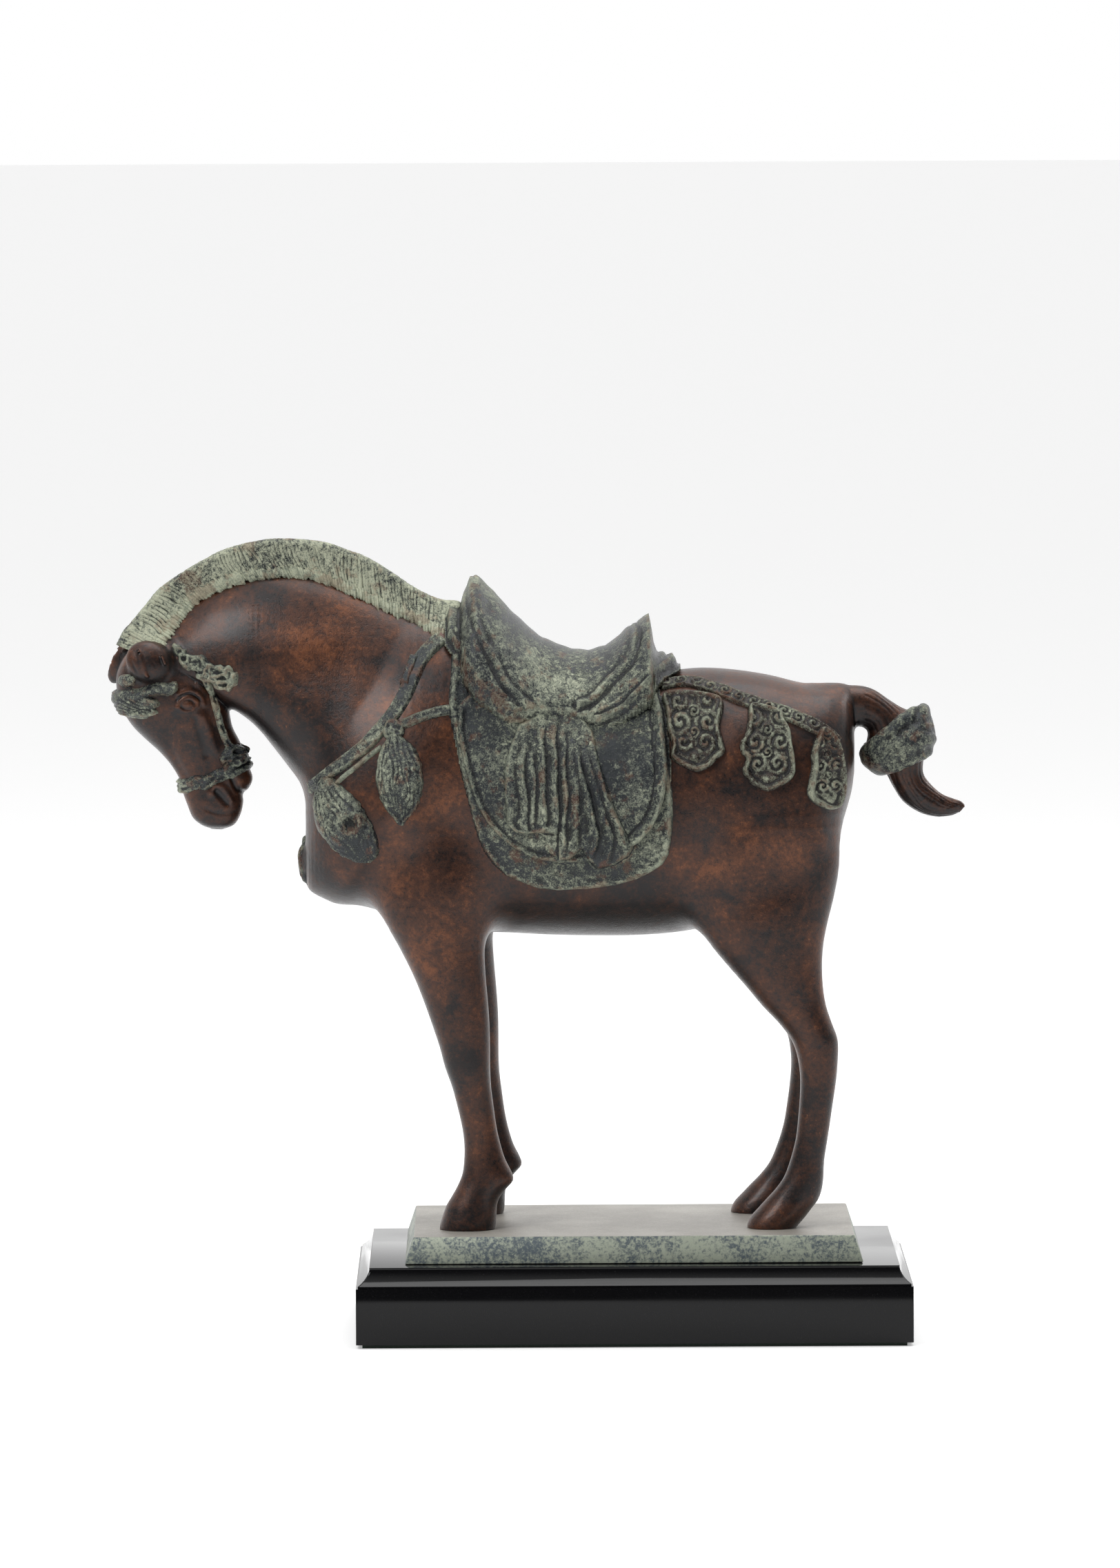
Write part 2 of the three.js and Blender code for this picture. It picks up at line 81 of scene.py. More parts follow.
BESIDE = 70.0  # how far out at the side the rays start that look for the skin
HUB = 200.0  # height of the axis that the rays round the trunk run to
OFF_SKIN = 1.5  # a ray that ends farther than this from the skin has missed it
WIDEST_CELL = 8  # a cell of a sheet with a longer diagonal bridges a gap, and is left out
SUNK = 0.85  # a sheet's edge is cut where it lies this deep in the metal
SKIRT_LIFT, DRAPE_LIFT, SEAT_LIFT = 2.5, 4.6, 5.2  # height of each layer above the skin
SEAT_FOOT = 2.4  # how far above the skin the seat's underside lies
SCROLL_PITCH = 7.5  # length of one scroll along the crupper
HANGING_STEP = 0.5  # spacing of the points on the pendants and tassels
SIDES = ((-1, "near"), (1, "far"))
SHARED = {}  # what several pieces read and is worked out once


# ------------------------------------------------------------------ settings


class StatueSettings(bpy.types.PropertyGroup):
    """Sizes and colours that a user would change."""

    sculpt_step: bpy.props.FloatProperty(
        name="Sculpting step", description="Size of the facets on the large castings",
        default=1.5 * MM, min=0.5 * MM, unit="LENGTH")
    lock_length: bpy.props.FloatProperty(
        name="Lock length", description="Length of the locks over the mane's edge",
        default=8 * MM, min=1 * MM, unit="LENGTH")
    lock_thickness: bpy.props.FloatProperty(
        name="Lock thickness", description="Thickness of the locks over the mane's edge",
        default=2.1 * MM, min=0.2 * MM, unit="LENGTH")
    brown: bpy.props.FloatVectorProperty(
        name="Brown patina", description="The castings' dark brown",
        subtype="COLOR", size=3, default=(0.05, 0.018, 0.009))
    rubbed: bpy.props.FloatVectorProperty(
        name="Rubbed bronze", description="The red-brown where the patina is worn",
        subtype="COLOR", size=3, default=(0.15, 0.05, 0.018))
    verdigris: bpy.props.FloatVectorProperty(
        name="Verdigris", description="The pale green on the trappings",
        subtype="COLOR", size=3, default=(0.26, 0.285, 0.215))
    recess: bpy.props.FloatVectorProperty(
        name="Recesses", description="The blue-black left in the hollows",
        subtype="COLOR", size=3, default=(0.016, 0.02, 0.023))


# ------------------------------------------------------------------ fields


def between(rows, count):
    """Rows of numbers, carried smoothly through the given ones."""
    rows = np.asarray(rows, float)
    padded = np.vstack([2 * rows[0] - rows[1], rows, 2 * rows[-1] - rows[-2]])
    at = np.linspace(0, len(rows) - 1, count)
    i = np.minimum(at.astype(int), len(rows) - 2)
    t = (at - i)[:, None]
    p0, p1, p2, p3 = (padded[i + k] for k in range(4))
    return 0.5 * (2 * p1 + (p2 - p0) * t + (2 * p0 - 5 * p1 + 4 * p2 - p3) * t**2
                  + (3 * p1 - p0 - 3 * p2 + p3) * t**3)


class Sweep:
    """A form swept through ovals, each of which spans two points of the side view.

    A station is the first point's x and z, the second point's x and z, the half width and y.
    """

    FAR = 30.0

    def __init__(self, stations, power=2.0, taper=0.0, count=60, reach=14.0):
        rows = between(stations, count)
        self.a, self.b, self.width, self.y = rows[:, 0:2], rows[:, 2:4], rows[:, 4], rows[:, 5]
        self.span = self.a - self.b
        self.length = np.linalg.norm(self.span, axis=1)
        self.power, self.taper = power, taper
        corners = np.vstack([self.a, self.b])
        side = self.width.max() + reach
        self.low = np.array([corners[:, 0].min() - reach, self.y.min() - side, corners[:, 1].min() - reach])
        self.high = np.array([corners[:, 0].max() + reach, self.y.max() + side, corners[:, 1].max() + reach])
        middle = (self.a + self.b) / 2
        normal = np.stack([self.span[:, 1], -self.span[:, 0]], 1)
        ahead = ((middle[1:] - middle[:-1]) * normal[:-1]).sum(axis=1)
        self.sense = 1.0 if np.median(ahead) > 0 else -1.0

    def __call__(self, p):
        out = np.full(len(p), self.FAR)
        near = np.all((p > self.low) & (p < self.high), axis=1)
        if near.any():
            out[near] = self.measure(p[near])
        return out

    def measure(self, p):
        across = self.sense * ((p[:, None, 0] - self.b[None, :, 0]) * self.span[None, :, 1]
                               - (p[:, None, 2] - self.b[None, :, 1]) * self.span[None, :, 0])
        passed = np.logical_and.accumulate(across > 0, axis=1).sum(axis=1)
        i = np.clip(passed - 1, 0, len(self.length) - 2)
        row = np.arange(len(p))
        here, there = across[row, i], across[row, i + 1]
        t = np.clip(here / (here - there + 1e-9), 0, 1)
        mix = lambda values: (values[i].T * (1 - t) + values[i + 1].T * t).T
        a, b, width, y = mix(self.a), mix(self.b), mix(self.width), mix(self.y)
        half = np.linalg.norm(a - b, axis=1) / 2
        along = ((p[:, [0, 2]] - (a + b) / 2) * (a - b)).sum(axis=1) / (2 * half)
        width = width * (1 - self.taper * np.clip(along / half, -1.2, 1.2))
        u, v = np.abs(along) / half + 1e-6, np.abs(p[:, 1] - y) / width + 1e-6
        n = self.power
        r = (u**n + v**n) ** (1 / n)
        slope = r ** (1 - n) * np.hypot(u ** (n - 1) / half, v ** (n - 1) / width)
        skin = np.maximum((r - 1) / slope, -np.minimum(half, width))
        start, end = -across[:, 0] / self.length[0], across[:, -1] / self.length[-1]
        beyond = np.where(passed == 0, start, np.where(passed == len(self.length), end, -self.FAR))
        return (np.minimum(np.maximum(skin, beyond), 0)
                + np.hypot(np.maximum(skin, 0), np.maximum(beyond, 0)))


def blend(a, b, soft):
    """The union of two fields, with a fillet of about the size given."""
    h = np.maximum(soft - np.abs(a - b), 0) / soft
    return np.minimum(a, b) - h * h * soft / 4


def bump(p, place, radii, height, both=True):
    """A soft swelling round a place or, with a negative height, a hollow."""
    side = np.abs(p[:, 1]) if both else p[:, 1]
    square = (((p[:, 0] - place[0]) / radii[0]) ** 2 + ((side - place[1]) / radii[1]) ** 2
              + ((p[:, 2] - place[2]) / radii[2]) ** 2)
    return height * np.exp(-square)


def slope_of(field, p, step=0.3):
    """A field's gradient, by central differences."""
    out = np.empty_like(p)
    for axis in range(3):
        shift = np.zeros(3)
        shift[axis] = step
        out[:, axis] = (field(p + shift) - field(p - shift)) / (2 * step)
    return out


def unit(v):
    """Rows of numbers, each brought to length 1."""
    return v / np.maximum(np.linalg.norm(v, axis=1, keepdims=True), 1e-12)


def settle(field, p, rounds=3, level=0.0):
    """Moves points along a field's slope until they lie on its level."""
    for _ in range(rounds):
        grad = slope_of(field, p)
        move = ((field(p) - level) / np.maximum((grad**2).sum(axis=1), 0.05))[:, None] * grad
        length = np.linalg.norm(move, axis=1, keepdims=True)
        p = p - move * np.minimum(1, 1.5 / np.maximum(length, 1e-9))
    return p


def sample(field, low, high, step, block=8):
    """A field on a grid, worked out in full only in the blocks that its surface may cross."""
    size = np.ceil((high - low) / step / block).astype(int) * block
    index = np.argwhere(np.ones(size // block, bool))
    rough = field(low + (index + 0.5) * block * step)
    values = rough.reshape(size // block)
    for axis in range(3):
        values = np.repeat(values, block, axis)
    values = np.pad(values, [(0, 1)] * 3, mode="edge")
    near = index[np.abs(rough) < block * step * 1.25]
    offsets = np.argwhere(np.ones([block + 1] * 3, bool))
    for chunk in np.array_split(near, len(near) // 150 + 1):
        cells = (chunk[:, None, :] * block + offsets[None]).reshape(-1, 3)
        values[tuple(cells.T)] = field(low + cells * step)
    return values


def skin_of(field, low, high, step):
    """Quads over a field's zero level, with one corner in each cell that it crosses."""
    low, high = np.asarray(low, float), np.asarray(high, float)
    values = sample(field, low, high, step)
    inside = values < 0
    size = np.array(values.shape) - 1
    corners = np.argwhere(np.ones((2, 2, 2), bool))
    count = sum(inside[tuple(slice(c, c + n) for c, n in zip(corner, size))].astype(np.int8)
                for corner in corners)
    cells = np.argwhere((count > 0) & (count < 8))
    total, crossings = np.zeros((len(cells), 3)), np.zeros(len(cells))
    for axis in range(3):
        for corner in corners[corners[:, axis] == 0]:
            here = values[tuple((cells + corner).T)]
            there = values[tuple((cells + corner + np.eye(3, dtype=int)[axis]).T)]
            cut = (here < 0) != (there < 0)
            point = np.tile(corner.astype(float), (int(cut.sum()), 1))
            point[:, axis] = here[cut] / (here[cut] - there[cut])
            total[cut] += point
            crossings[cut] += 1
    number = np.full(size, -1)
    number[tuple(cells.T)] = np.arange(len(cells))
    quads = []
    for axis in range(3):
        step_b, step_c = (np.eye(3, dtype=int)[(axis + k) % 3] for k in (1, 2))
        lower = inside[tuple(slice(0, n if k == axis else None) for k, n in enumerate(size))]
        upper = inside[tuple(slice(1 if k == axis else 0, None) for k in range(3))]
        edges = np.argwhere(lower != upper)
        across = edges[:, [(axis + 1) % 3, (axis + 2) % 3]]
        edges = edges[np.all((across > 0) & (across < size[[(axis + 1) % 3, (axis + 2) % 3]]), axis=1)]
        ring = [edges, edges - step_b, edges - step_b - step_c, edges - step_c]
        quad = np.stack([number[tuple(r.T)] for r in ring], 1)
        quads.append(np.where(lower[tuple(edges.T)][:, None], quad, quad[:, ::-1]))
    return low + (cells + total / crossings[:, None]) * step, np.vstack(quads)


# ------------------------------------------------------------------ the horse's forms

# x, top, bottom and half width.
TORSO = [
    [-156, 178, 166, 8], [-154, 190, 160, 20], [-148, 209, 157, 29], [-140, 228, 155, 35],
    [-130, 246, 152.5, 39], [-118, 262, 149, 42], [-105, 277, 144, 44], [-90, 284, 140.5, 44.5],
    [-75, 280, 139.5, 45.5], [-58, 271, 139, 47], [-40, 264, 138, 48.5], [-20, 261, 137.5, 49.5],
    [0, 261.5, 137.5, 50], [18, 264, 138.5, 49.5], [34, 265.5, 141, 49], [50, 264.5, 146, 48.5],
    [66, 262, 152, 47.5], [80, 258.5, 160, 44.5], [89, 257, 169, 40.5], [96, 256.5, 181, 34.5],
    [102, 255, 194, 27], [105.6, 250, 205, 18], [107, 244, 214, 9],
]
# The first point's x and z, the second point's x and z, and the half width.
NECK = [
    [-70, 279, -140, 160, 40], [-84, 286, -152.5, 176, 39], [-97, 289.5, -155.5, 192, 36],
    [-110, 295, -156, 203, 32.5], [-125, 301, -158.5, 211.5, 29], [-140, 306.5, -164.5, 220, 26.5],
    [-155, 310.5, -171, 228.5, 24.5], [-170, 311, -176.5, 235.5, 23], [-185, 308.5, -182, 241, 21.5],
    [-200, 303, -188, 245.5, 20], [-213, 295, -193, 249, 18.5], [-225, 285, -198, 254, 16.5],
    [-233, 276, -204, 260, 13],
]
HEAD = [
    [-201.5, 189.6, -195.5, 189.2, 3], [-206, 191.5, -190, 191.5, 7.6], [-210, 195, -186.8, 197, 9.6],
    [-212.5, 201, -185.5, 203.5, 10.4], [-214.6, 207, -184.5, 209.8, 10.6], [-216, 213, -183, 216.5, 11],
    [-220, 220, -184.5, 224, 11.6], [-225.5, 226.5, -187, 231, 12.8], [-232, 232.5, -190.5, 238, 14.2],
    [-238, 238.5, -192, 245, 16], [-242.5, 245.5, -193.5, 253.5, 17], [-245.5, 254, -199, 263, 17.2],
    [-246, 263, -206, 272, 16.5], [-243, 271, -213, 279, 14.5], [-238, 277, -220, 284, 10.5],
]
# Height, front, back, half width, and how far in from the hoof.
FORELEG = [
    [-1, -92.5, -66.3, 11.6, 0], [2, -92.2, -65.6, 11.6, 0], [6, -91, -65.3, 11.2, 0],
    [11, -89.2, -65, 10.4, 0], [15, -86.8, -63.6, 9.6, 0], [19, -84.5, -60.6, 9.0, 0],
    [23, -82.6, -57.2, 8.6, 0], [27, -81.3, -58, 8.3, 0], [33, -80.6, -61, 7.7, 0],
    [40, -80.5, -63.2, 7.3, 0], [48, -81.4, -65, 7.3, 0], [58, -83.6, -66.4, 7.8, 0],
    [68, -86.2, -67.6, 8.8, 0], [77, -89.4, -68, 9.8, 0], [87, -92, -68, 10.3, 0],
    [98, -95.6, -68.2, 11, 0], [110, -99.8, -69, 12, 0.3], [122, -104.6, -70, 13.3, 0.8],
    [134, -110.5, -70.3, 14.6, 1.4], [146, -117, -68.5, 16.5, 2.4], [158, -121, -66, 18.5, 4.5],
    [172, -121, -66, 19, 8], [190, -117, -72, 17, 13], [206, -110, -80, 12, 18],
]
HIND_LEG = [
    [-1, 54.6, 77, 11.2, 0], [1.5, 54.6, 79.4, 11.2, 0], [5, 56.2, 82.4, 10.8, 0], [9, 59.8, 85.4, 10, 0],
    [13, 63.4, 88.4, 9.2, 0], [18, 68, 90.2, 8.6, 0], [24, 72.2, 91, 8, 0], [32, 75.2, 91.4, 7.4, 0],
    [42, 77.8, 93, 7.2, 0], [52, 79, 94.5, 7.3, 0], [62, 79.8, 96, 7.7, 0], [72, 80, 97.4, 8.3, 0],
    [80, 79, 98, 9, 0], [86, 77.4, 98.2, 9.4, 0], [91, 75, 97.6, 9.8, 0], [98, 69.6, 95, 10.3, 0],
    [106, 62, 92.4, 11, 0], [115, 54.6, 91, 12, 0], [126, 45, 90.6, 13.4, 0.4], [136, 37, 91.4, 15, 1],
    [146, 31.5, 93.4, 16.8, 2.2], [158, 29, 96.4, 18.4, 4.4], [174, 33, 99, 19.2, 7.5],
    [192, 42, 98, 18.5, 11], [210, 56, 90, 13, 17],
]
TAIL = [
    [88, 255, 88, 232, 10], [100, 256.5, 99, 236, 9.5], [110, 256.6, 106, 239.6, 8.8],
    [117, 254.6, 110.5, 237.5, 8.6], [124, 249.8, 113.6, 234.2, 8.6], [130, 246, 113, 229, 9],
    [137, 243, 113.5, 225, 9.6], [141.8, 236, 115, 221, 9.8], [142.6, 228, 119, 218, 9],
    [140.6, 221, 122.6, 214, 8], [140.4, 214.5, 125.6, 208.4, 7.2], [143.6, 209.5, 130.4, 201, 6.6],
    [149, 204.6, 138.4, 195.6, 5.6], [154.5, 202.2, 146.5, 193.4, 4.3], [158.4, 200.8, 153, 193.8, 3],
    [160.4, 198.8, 157.6, 195.4, 1.4],
]
STEADY_ABOVE = 120  # a leg that stands ahead of its fellow meets it at this height


def leg_sweep(rows, side, ahead=0, low=0, high=STEADY_ABOVE):
    """A leg; its foot stands ahead by some millimetres, which fade out from one height to the other."""
    lead = lambda z: ahead * min(1, max(0, (high - z) / (high - low)))
    return Sweep([[front - lead(z), z, back - lead(z), z, width, side * (SPACING - inward)]
                  for z, front, back, width, inward in rows], power=2.15, count=70)


def central(rows):
    """Stations on the horse's middle plane."""
    return [[*row, 0] for row in rows]


torso_sweep = Sweep(central([x, top, x, bottom, width] for x, top, bottom, width in TORSO),
                    power=2.25, taper=0.04, count=70)
neck_sweep = Sweep(central(NECK), power=2.1, taper=0.34)
head_sweep = Sweep(central(HEAD), power=2.35, taper=-0.06)
tail_sweep = Sweep(central(TAIL), reach=8)
leg_sweeps = [leg_sweep(FORELEG, -1), leg_sweep(FORELEG, 1, -4, 130, 185),
              leg_sweep(HIND_LEG, -1), leg_sweep(HIND_LEG, 1, 6.5)]


def body(p):
    """The whole horse without its trappings: negative inside, about a distance near the skin."""
    d = blend(torso_sweep(p), neck_sweep(p), 16)
    for leg in leg_sweeps:
        d = blend(d, leg(p), 15)
    d = blend(d, tail_sweep(p), 7)
    return blend(d, head_sweep(p), 5)


# ------------------------------------------------------------------ meshes


def bare_mesh(name, points, quads):
    """A mesh in metres, in the statue's frame, from points in the horse's frame."""
    place = (np.asarray(points) * SCALE + np.array([0, 0, SOLES])) * MM
    mesh = bpy.data.meshes.new(name)
    quads = np.asarray(quads)
    mesh.vertices.add(len(place))
    mesh.vertices.foreach_set("co", place.astype(np.float32).ravel())
    mesh.loops.add(quads.size)
    mesh.loops.foreach_set("vertex_index", quads.astype(np.int32).ravel())
    mesh.polygons.add(len(quads))
    mesh.polygons.foreach_set("loop_start", np.arange(0, quads.size, quads.shape[1], dtype=np.int32))
    mesh.polygons.foreach_set("use_smooth", np.ones(len(quads), bool))
    mesh.update(calc_edges=True)
    return mesh


def wear(mesh, reach=4):
    """Stores on each point how far it stands out of its surroundings, from 0 to 1."""
    count = len(mesh.vertices)
    co = np.empty(count * 3, np.float32)
    mesh.vertices.foreach_get("co", co)
    co = co.reshape(-1, 3).astype(float)
    normal = np.empty(count * 3, np.float32)
    mesh.vertex_normals.foreach_get("vector", normal)
    normal = normal.reshape(-1, 3)
    edges = np.empty(len(mesh.edges) * 2, np.int32)
    mesh.edges.foreach_get("vertices", edges)
    first, second = edges.reshape(-1, 2).T
    degree = np.maximum(np.bincount(first, minlength=count) + np.bincount(second, minlength=count), 1)
    spread = lambda v: (np.bincount(first, v[second], count) + np.bincount(second, v[first], count)) / degree
    smooth = co.copy()
    for _ in range(reach):
        smooth = np.stack([(smooth[:, k] + spread(smooth[:, k])) / 2 for k in range(3)], 1)
    out = ((co - smooth) * normal).sum(axis=1)
    length = np.linalg.norm(co[first] - co[second], axis=1).mean()
    value = 0.5 + out / (length * 0.7)
    value = (value + spread(value)) / 2
    attribute = mesh.attributes.new("wear", "FLOAT", "POINT")
    attribute.data.foreach_set("value", np.clip(value, 0, 1).astype(np.float32))


def finished(name, mesh, material, nodes):
    """An object that takes the place of CAD nodes, in its finish, on the statue's one body."""
    piece = bpy.data.objects.new(name, mesh)
    bpy.context.scene.collection.objects.link(piece)
    mesh.materials.clear()
    mesh.materials.append(material)
    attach(piece, "root")
    if "wear" not in mesh.attributes:
        wear(mesh)
    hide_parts(*nodes)


def trapping(name, points, quads, material):
    """A piece in verdigris, made from points in the horse's frame."""
    finished(name, bare_mesh(name, points, quads), material, [name])


def cut(mesh, planes):
    """Cuts a mesh off behind each plane, given as a point, a direction and the x it holds up to."""
    work = bmesh.new()
    work.from_mesh(mesh)
    for point, direction, limit in planes:
        place = (Vector(point) * SCALE + Vector((0, 0, SOLES))) * MM
        faces = [face for face in work.faces if face.calc_center_median().x < limit * SCALE * MM]
        edges = {edge for face in faces for edge in face.edges}
        corners = {corner for face in faces for corner in face.verts}
        bmesh.ops.bisect_plane(work, geom=[*corners, *edges, *faces], dist=1e-7, plane_co=place,
                               plane_no=direction, clear_outer=True)
        bmesh.ops.delete(work, geom=[v for v in work.verts if not v.link_faces], context="VERTS")
        rim = [edge for edge in work.edges if edge.is_boundary]
        caps = bmesh.ops.holes_fill(work, edges=rim)["faces"]
        for face in caps:
            face.smooth = False
        bmesh.ops.triangulate(work, faces=caps)
    work.to_mesh(mesh)
    work.free()


def carve(name, field, low, high, step, planes, material):
    """A casting: the part of the horse's body inside a box, cut off by planes."""
    points, quads = skin_of(field, low, high, step)
    points = settle(field, points, 1)
    mesh = bare_mesh(name, points, quads)
    wear(mesh)
    cut(mesh, planes)
    count = len(mesh.vertices)
    place = np.empty(count * 3, np.float32)
    mesh.vertices.foreach_get("co", place)
    own = (place.reshape(-1, 3) / MM - np.array([0, 0, SOLES])) / SCALE
    mesh.normals_split_custom_set_from_vertices(unit(slope_of(field, own)))
    finished(name, mesh, material, [name])


# ------------------------------------------------------------------ what lies on the castings


class Grid:
    """A field kept on a grid, for quick reading between its points."""

    def __init__(self, field, low, high, step):
        self.low, self.step = np.asarray(low, float), step
        self.values = sample(field, self.low, np.asarray(high, float), step)
        self.top = np.array(self.values.shape) - 1.001

    def __call__(self, p):
        at = np.clip((p - self.low) / self.step, 0, self.top)
        i = at.astype(int)
        f = at - i
        out = 0
        for corner in np.argwhere(np.ones((2, 2, 2), bool)):
            weight = np.prod(np.where(corner, f, 1 - f), axis=1)
            out = out + weight * self.values[tuple((i + corner).T)]
        return out


def land(field, start, direction, reach, steps=40):
    """Where each ray first meets a field's skin on its way in, or its end where it meets none."""
    far = np.full(len(start), reach, float)
    near = np.zeros(len(start))
    found = np.zeros(len(start), bool)
    for t in np.linspace(0, reach, steps)[1:]:
        value = field(start + direction * t)
        hit = ~found & (value < 0)
        far[hit], found[hit] = t, True
        near[~found] = t
    for _ in range(7):
        middle = (near + far) / 2
        inside = field(start + direction * middle[:, None]) < 0
        far, near = np.where(inside, middle, far), np.where(inside, near, middle)
    return start + direction * ((near + far) / 2)[:, None]


def curve(points, count):
    """A smooth curve through points, as evenly spaced points."""
    fine = between(points, 40 * len(points))
    along = np.concatenate([[0], np.cumsum(np.linalg.norm(np.diff(fine, axis=0), axis=1))])
    at = np.linspace(0, along[-1], count)
    return np.stack([np.interp(at, along, fine[:, k]) for k in range(fine.shape[1])], 1)


def from_line(q, line):
    """For each point of a plane: its distance from a polyline, and how far along the line that is."""
    a, b = line[:-1], line[1:]
    span = b - a
    length = np.maximum(np.linalg.norm(span, axis=1), 1e-9)
    start = np.concatenate([[0], np.cumsum(length)[:-1]])
    best, along = np.full(len(q), 1e9), np.zeros(len(q))
    for k in range(len(a)):
        t = np.clip(((q - a[k]) @ span[k]) / length[k] ** 2, 0, 1)
        d = np.linalg.norm(q - a[k] - t[:, None] * span[k], axis=1)
        nearer = d < best
        best = np.where(nearer, d, best)
        along = np.where(nearer, start[k] + t * length[k], along)
    return best, along


def from_outline(q, outline):
    """The distance from a closed outline in a plane, negative inside it."""
    ring = np.vstack([outline, outline[:1]])
    inside = np.zeros(len(q), bool)
    for (ax, az), (bx, bz) in zip(ring[:-1], ring[1:]):
        crosses = (az > q[:, 1]) != (bz > q[:, 1])
        inside ^= crosses & (q[:, 0] < (bx - ax) * (q[:, 1] - az) / (bz - az + 1e-12) + ax)
    return np.where(inside, -1, 1) * from_line(q, ring)[0]


def smooth_ring(points, count=90):
    """A closed smooth outline through points."""
    points = np.asarray(points, float)
    wrapped = np.vstack([points[-2:], points, points[:3]])
    fine = between(wrapped, 20 * (len(wrapped) - 1) + 1)[40:-40]
    along = np.concatenate([[0], np.cumsum(np.linalg.norm(np.diff(fine, axis=0), axis=1))])
    at = np.linspace(0, along[-1], count, endpoint=False)
    return np.stack([np.interp(at, along, fine[:, k]) for k in range(2)], 1)


def rim(d, high, roundness=1.4, drop=0.9):
    """A layer's height by the distance from its edge, d: rounded over inside, sunk outside."""
    u = np.clip(-d / roundness, 0, 1)
    return np.where(d < 0, high * u * (2 - u), np.maximum(-2 * high / roundness * d, -drop))


def ridge(d, width, high):
    """A soft cord of metal along a line that lies at distance d."""
    return high * np.exp(-((d / width) ** 2))


def lock(u):
    """Strands of hair side by side: round tops and sharp valleys, from 0 to 1."""
    return 1 - (2 * (u - np.floor(u)) - 1) ** 2


def waver(a, b, seed):
    """Irregular lumps over two coordinates, from -1 to 1, about two apart."""
    table = np.random.default_rng(seed).uniform(-1, 1, (64, 64))
    at = np.stack(np.broadcast_arrays(a, b)) / 2
    i = np.floor(at).astype(int)
    f = at - i
    f = f * f * (3 - 2 * f)
    corner = lambda u, v: table[(i[0] + u) % 64, (i[1] + v) % 64]
    return ((corner(0, 0) * (1 - f[0]) + corner(1, 0) * f[0]) * (1 - f[1])
            + (corner(0, 1) * (1 - f[0]) + corner(1, 1) * f[0]) * f[1])


def on_skin(skin, base):
    """A grid of points without those that missed the skin."""
    off = np.abs(skin(base.reshape(-1, 3))).reshape(base.shape[:-1]) > OFF_SKIN
    return np.where(off[..., None], np.nan, base)


def shell(base, normal, height, keep, under=1.0):
    """A closed skin: a raised sheet over a grid of points, and its underside beneath the metal."""
    rows, columns = height.shape
    top = base + normal * height[..., None]
    low = base + normal * (np.minimum(height, 0) - under)[..., None]
    number = np.arange(rows * columns).reshape(rows, columns)
    cell = keep[:-1, :-1] | keep[1:, :-1] | keep[:-1, 1:] | keep[1:, 1:]
    for one, other in ((top[1:, 1:], top[:-1, :-1]), (top[1:, :-1], top[:-1, 1:])):
        cell &= np.linalg.norm(one - other, axis=-1) < WIDEST_CELL
    i, j = np.nonzero(cell)
    sheet = np.stack([number[i, j], number[i + 1, j], number[i + 1, j + 1], number[i, j + 1]], 1)
    total = rows * columns
    padded = np.pad(cell, 1)
    faces = [sheet, sheet[:, ::-1] + total]
    for di, dj, p, q in ((-1, 0, (0, 1), (0, 0)), (1, 0, (1, 0), (1, 1)),
                         (0, -1, (0, 0), (1, 0)), (0, 1, (1, 1), (0, 1))):
        a, b = np.nonzero(cell & ~padded[1 + di:rows + di, 1 + dj:columns + dj])
        p, q = number[a + p[0], b + p[1]], number[a + q[0], b + q[1]]
        faces.append(np.stack([q, p, p + total, q + total], 1))
    quads = np.vstack(faces)
    points = np.concatenate([top.reshape(-1, 3), low.reshape(-1, 3)])
    corners = points[sheet[::97]]
    facing = np.cross(corners[:, 2] - corners[:, 0], corners[:, 3] - corners[:, 1])
    if (facing * normal.reshape(-1, 3)[sheet[::97, 0]]).sum() < 0:
        quads = quads[:, ::-1]
    used, renumbered = np.unique(quads, return_inverse=True)
    return points[used], renumbered.reshape(quads.shape)


def together(parts):
    """Several skins as one."""
    points, quads, count = [], [], 0
    for own_points, own_quads in parts:
        points.append(own_points)
        quads.append(own_quads + count)
        count += len(own_points)
    return np.vstack(points), np.vstack(quads)


def ray_patch(skin, x, y, z, direction, reach):
    """A grid of points where parallel or spreading rays land on a skin, with its directions there."""
    start = np.stack(np.broadcast_arrays(x, y, z), -1)
    shape = start.shape
    aim = np.broadcast_to(direction, shape).reshape(-1, 3)
    base = land(skin, start.reshape(-1, 3), aim, reach, 60).reshape(shape)
    return on_skin(skin, base), normals_of(skin, base)


def round_patch(skin, hub_line, z_span, turns, step, around=16):
    """A grid of points round an upright form: by height, and by the turn from the near side forwards."""
    count = int(abs(turns[1] - turns[0]) * around / step)
    z, turn = np.meshgrid(np.arange(*z_span, step), np.linspace(*turns, count), indexing="ij")
    out = np.stack([-np.sin(turn), -np.cos(turn), np.zeros_like(turn)], -1)
    hub = np.array(hub_line, float)
    x = np.interp(z, hub[:, 0], hub[:, 1])
    return ray_patch(skin, x + out[..., 0] * 45, out[..., 1] * 45, z, -out, 44)


def strip_distance(p, line):
    """The distance from a chain of points in space."""
    best = np.full(len(p), 1e9)
    for a, b in zip(line[:-1], line[1:]):
        span = b - a
        t = np.clip(((p - a) @ span) / max(span @ span, 1e-9), 0, 1)
        best = np.minimum(best, np.linalg.norm(p - a - t[:, None] * span, axis=1))
    return best


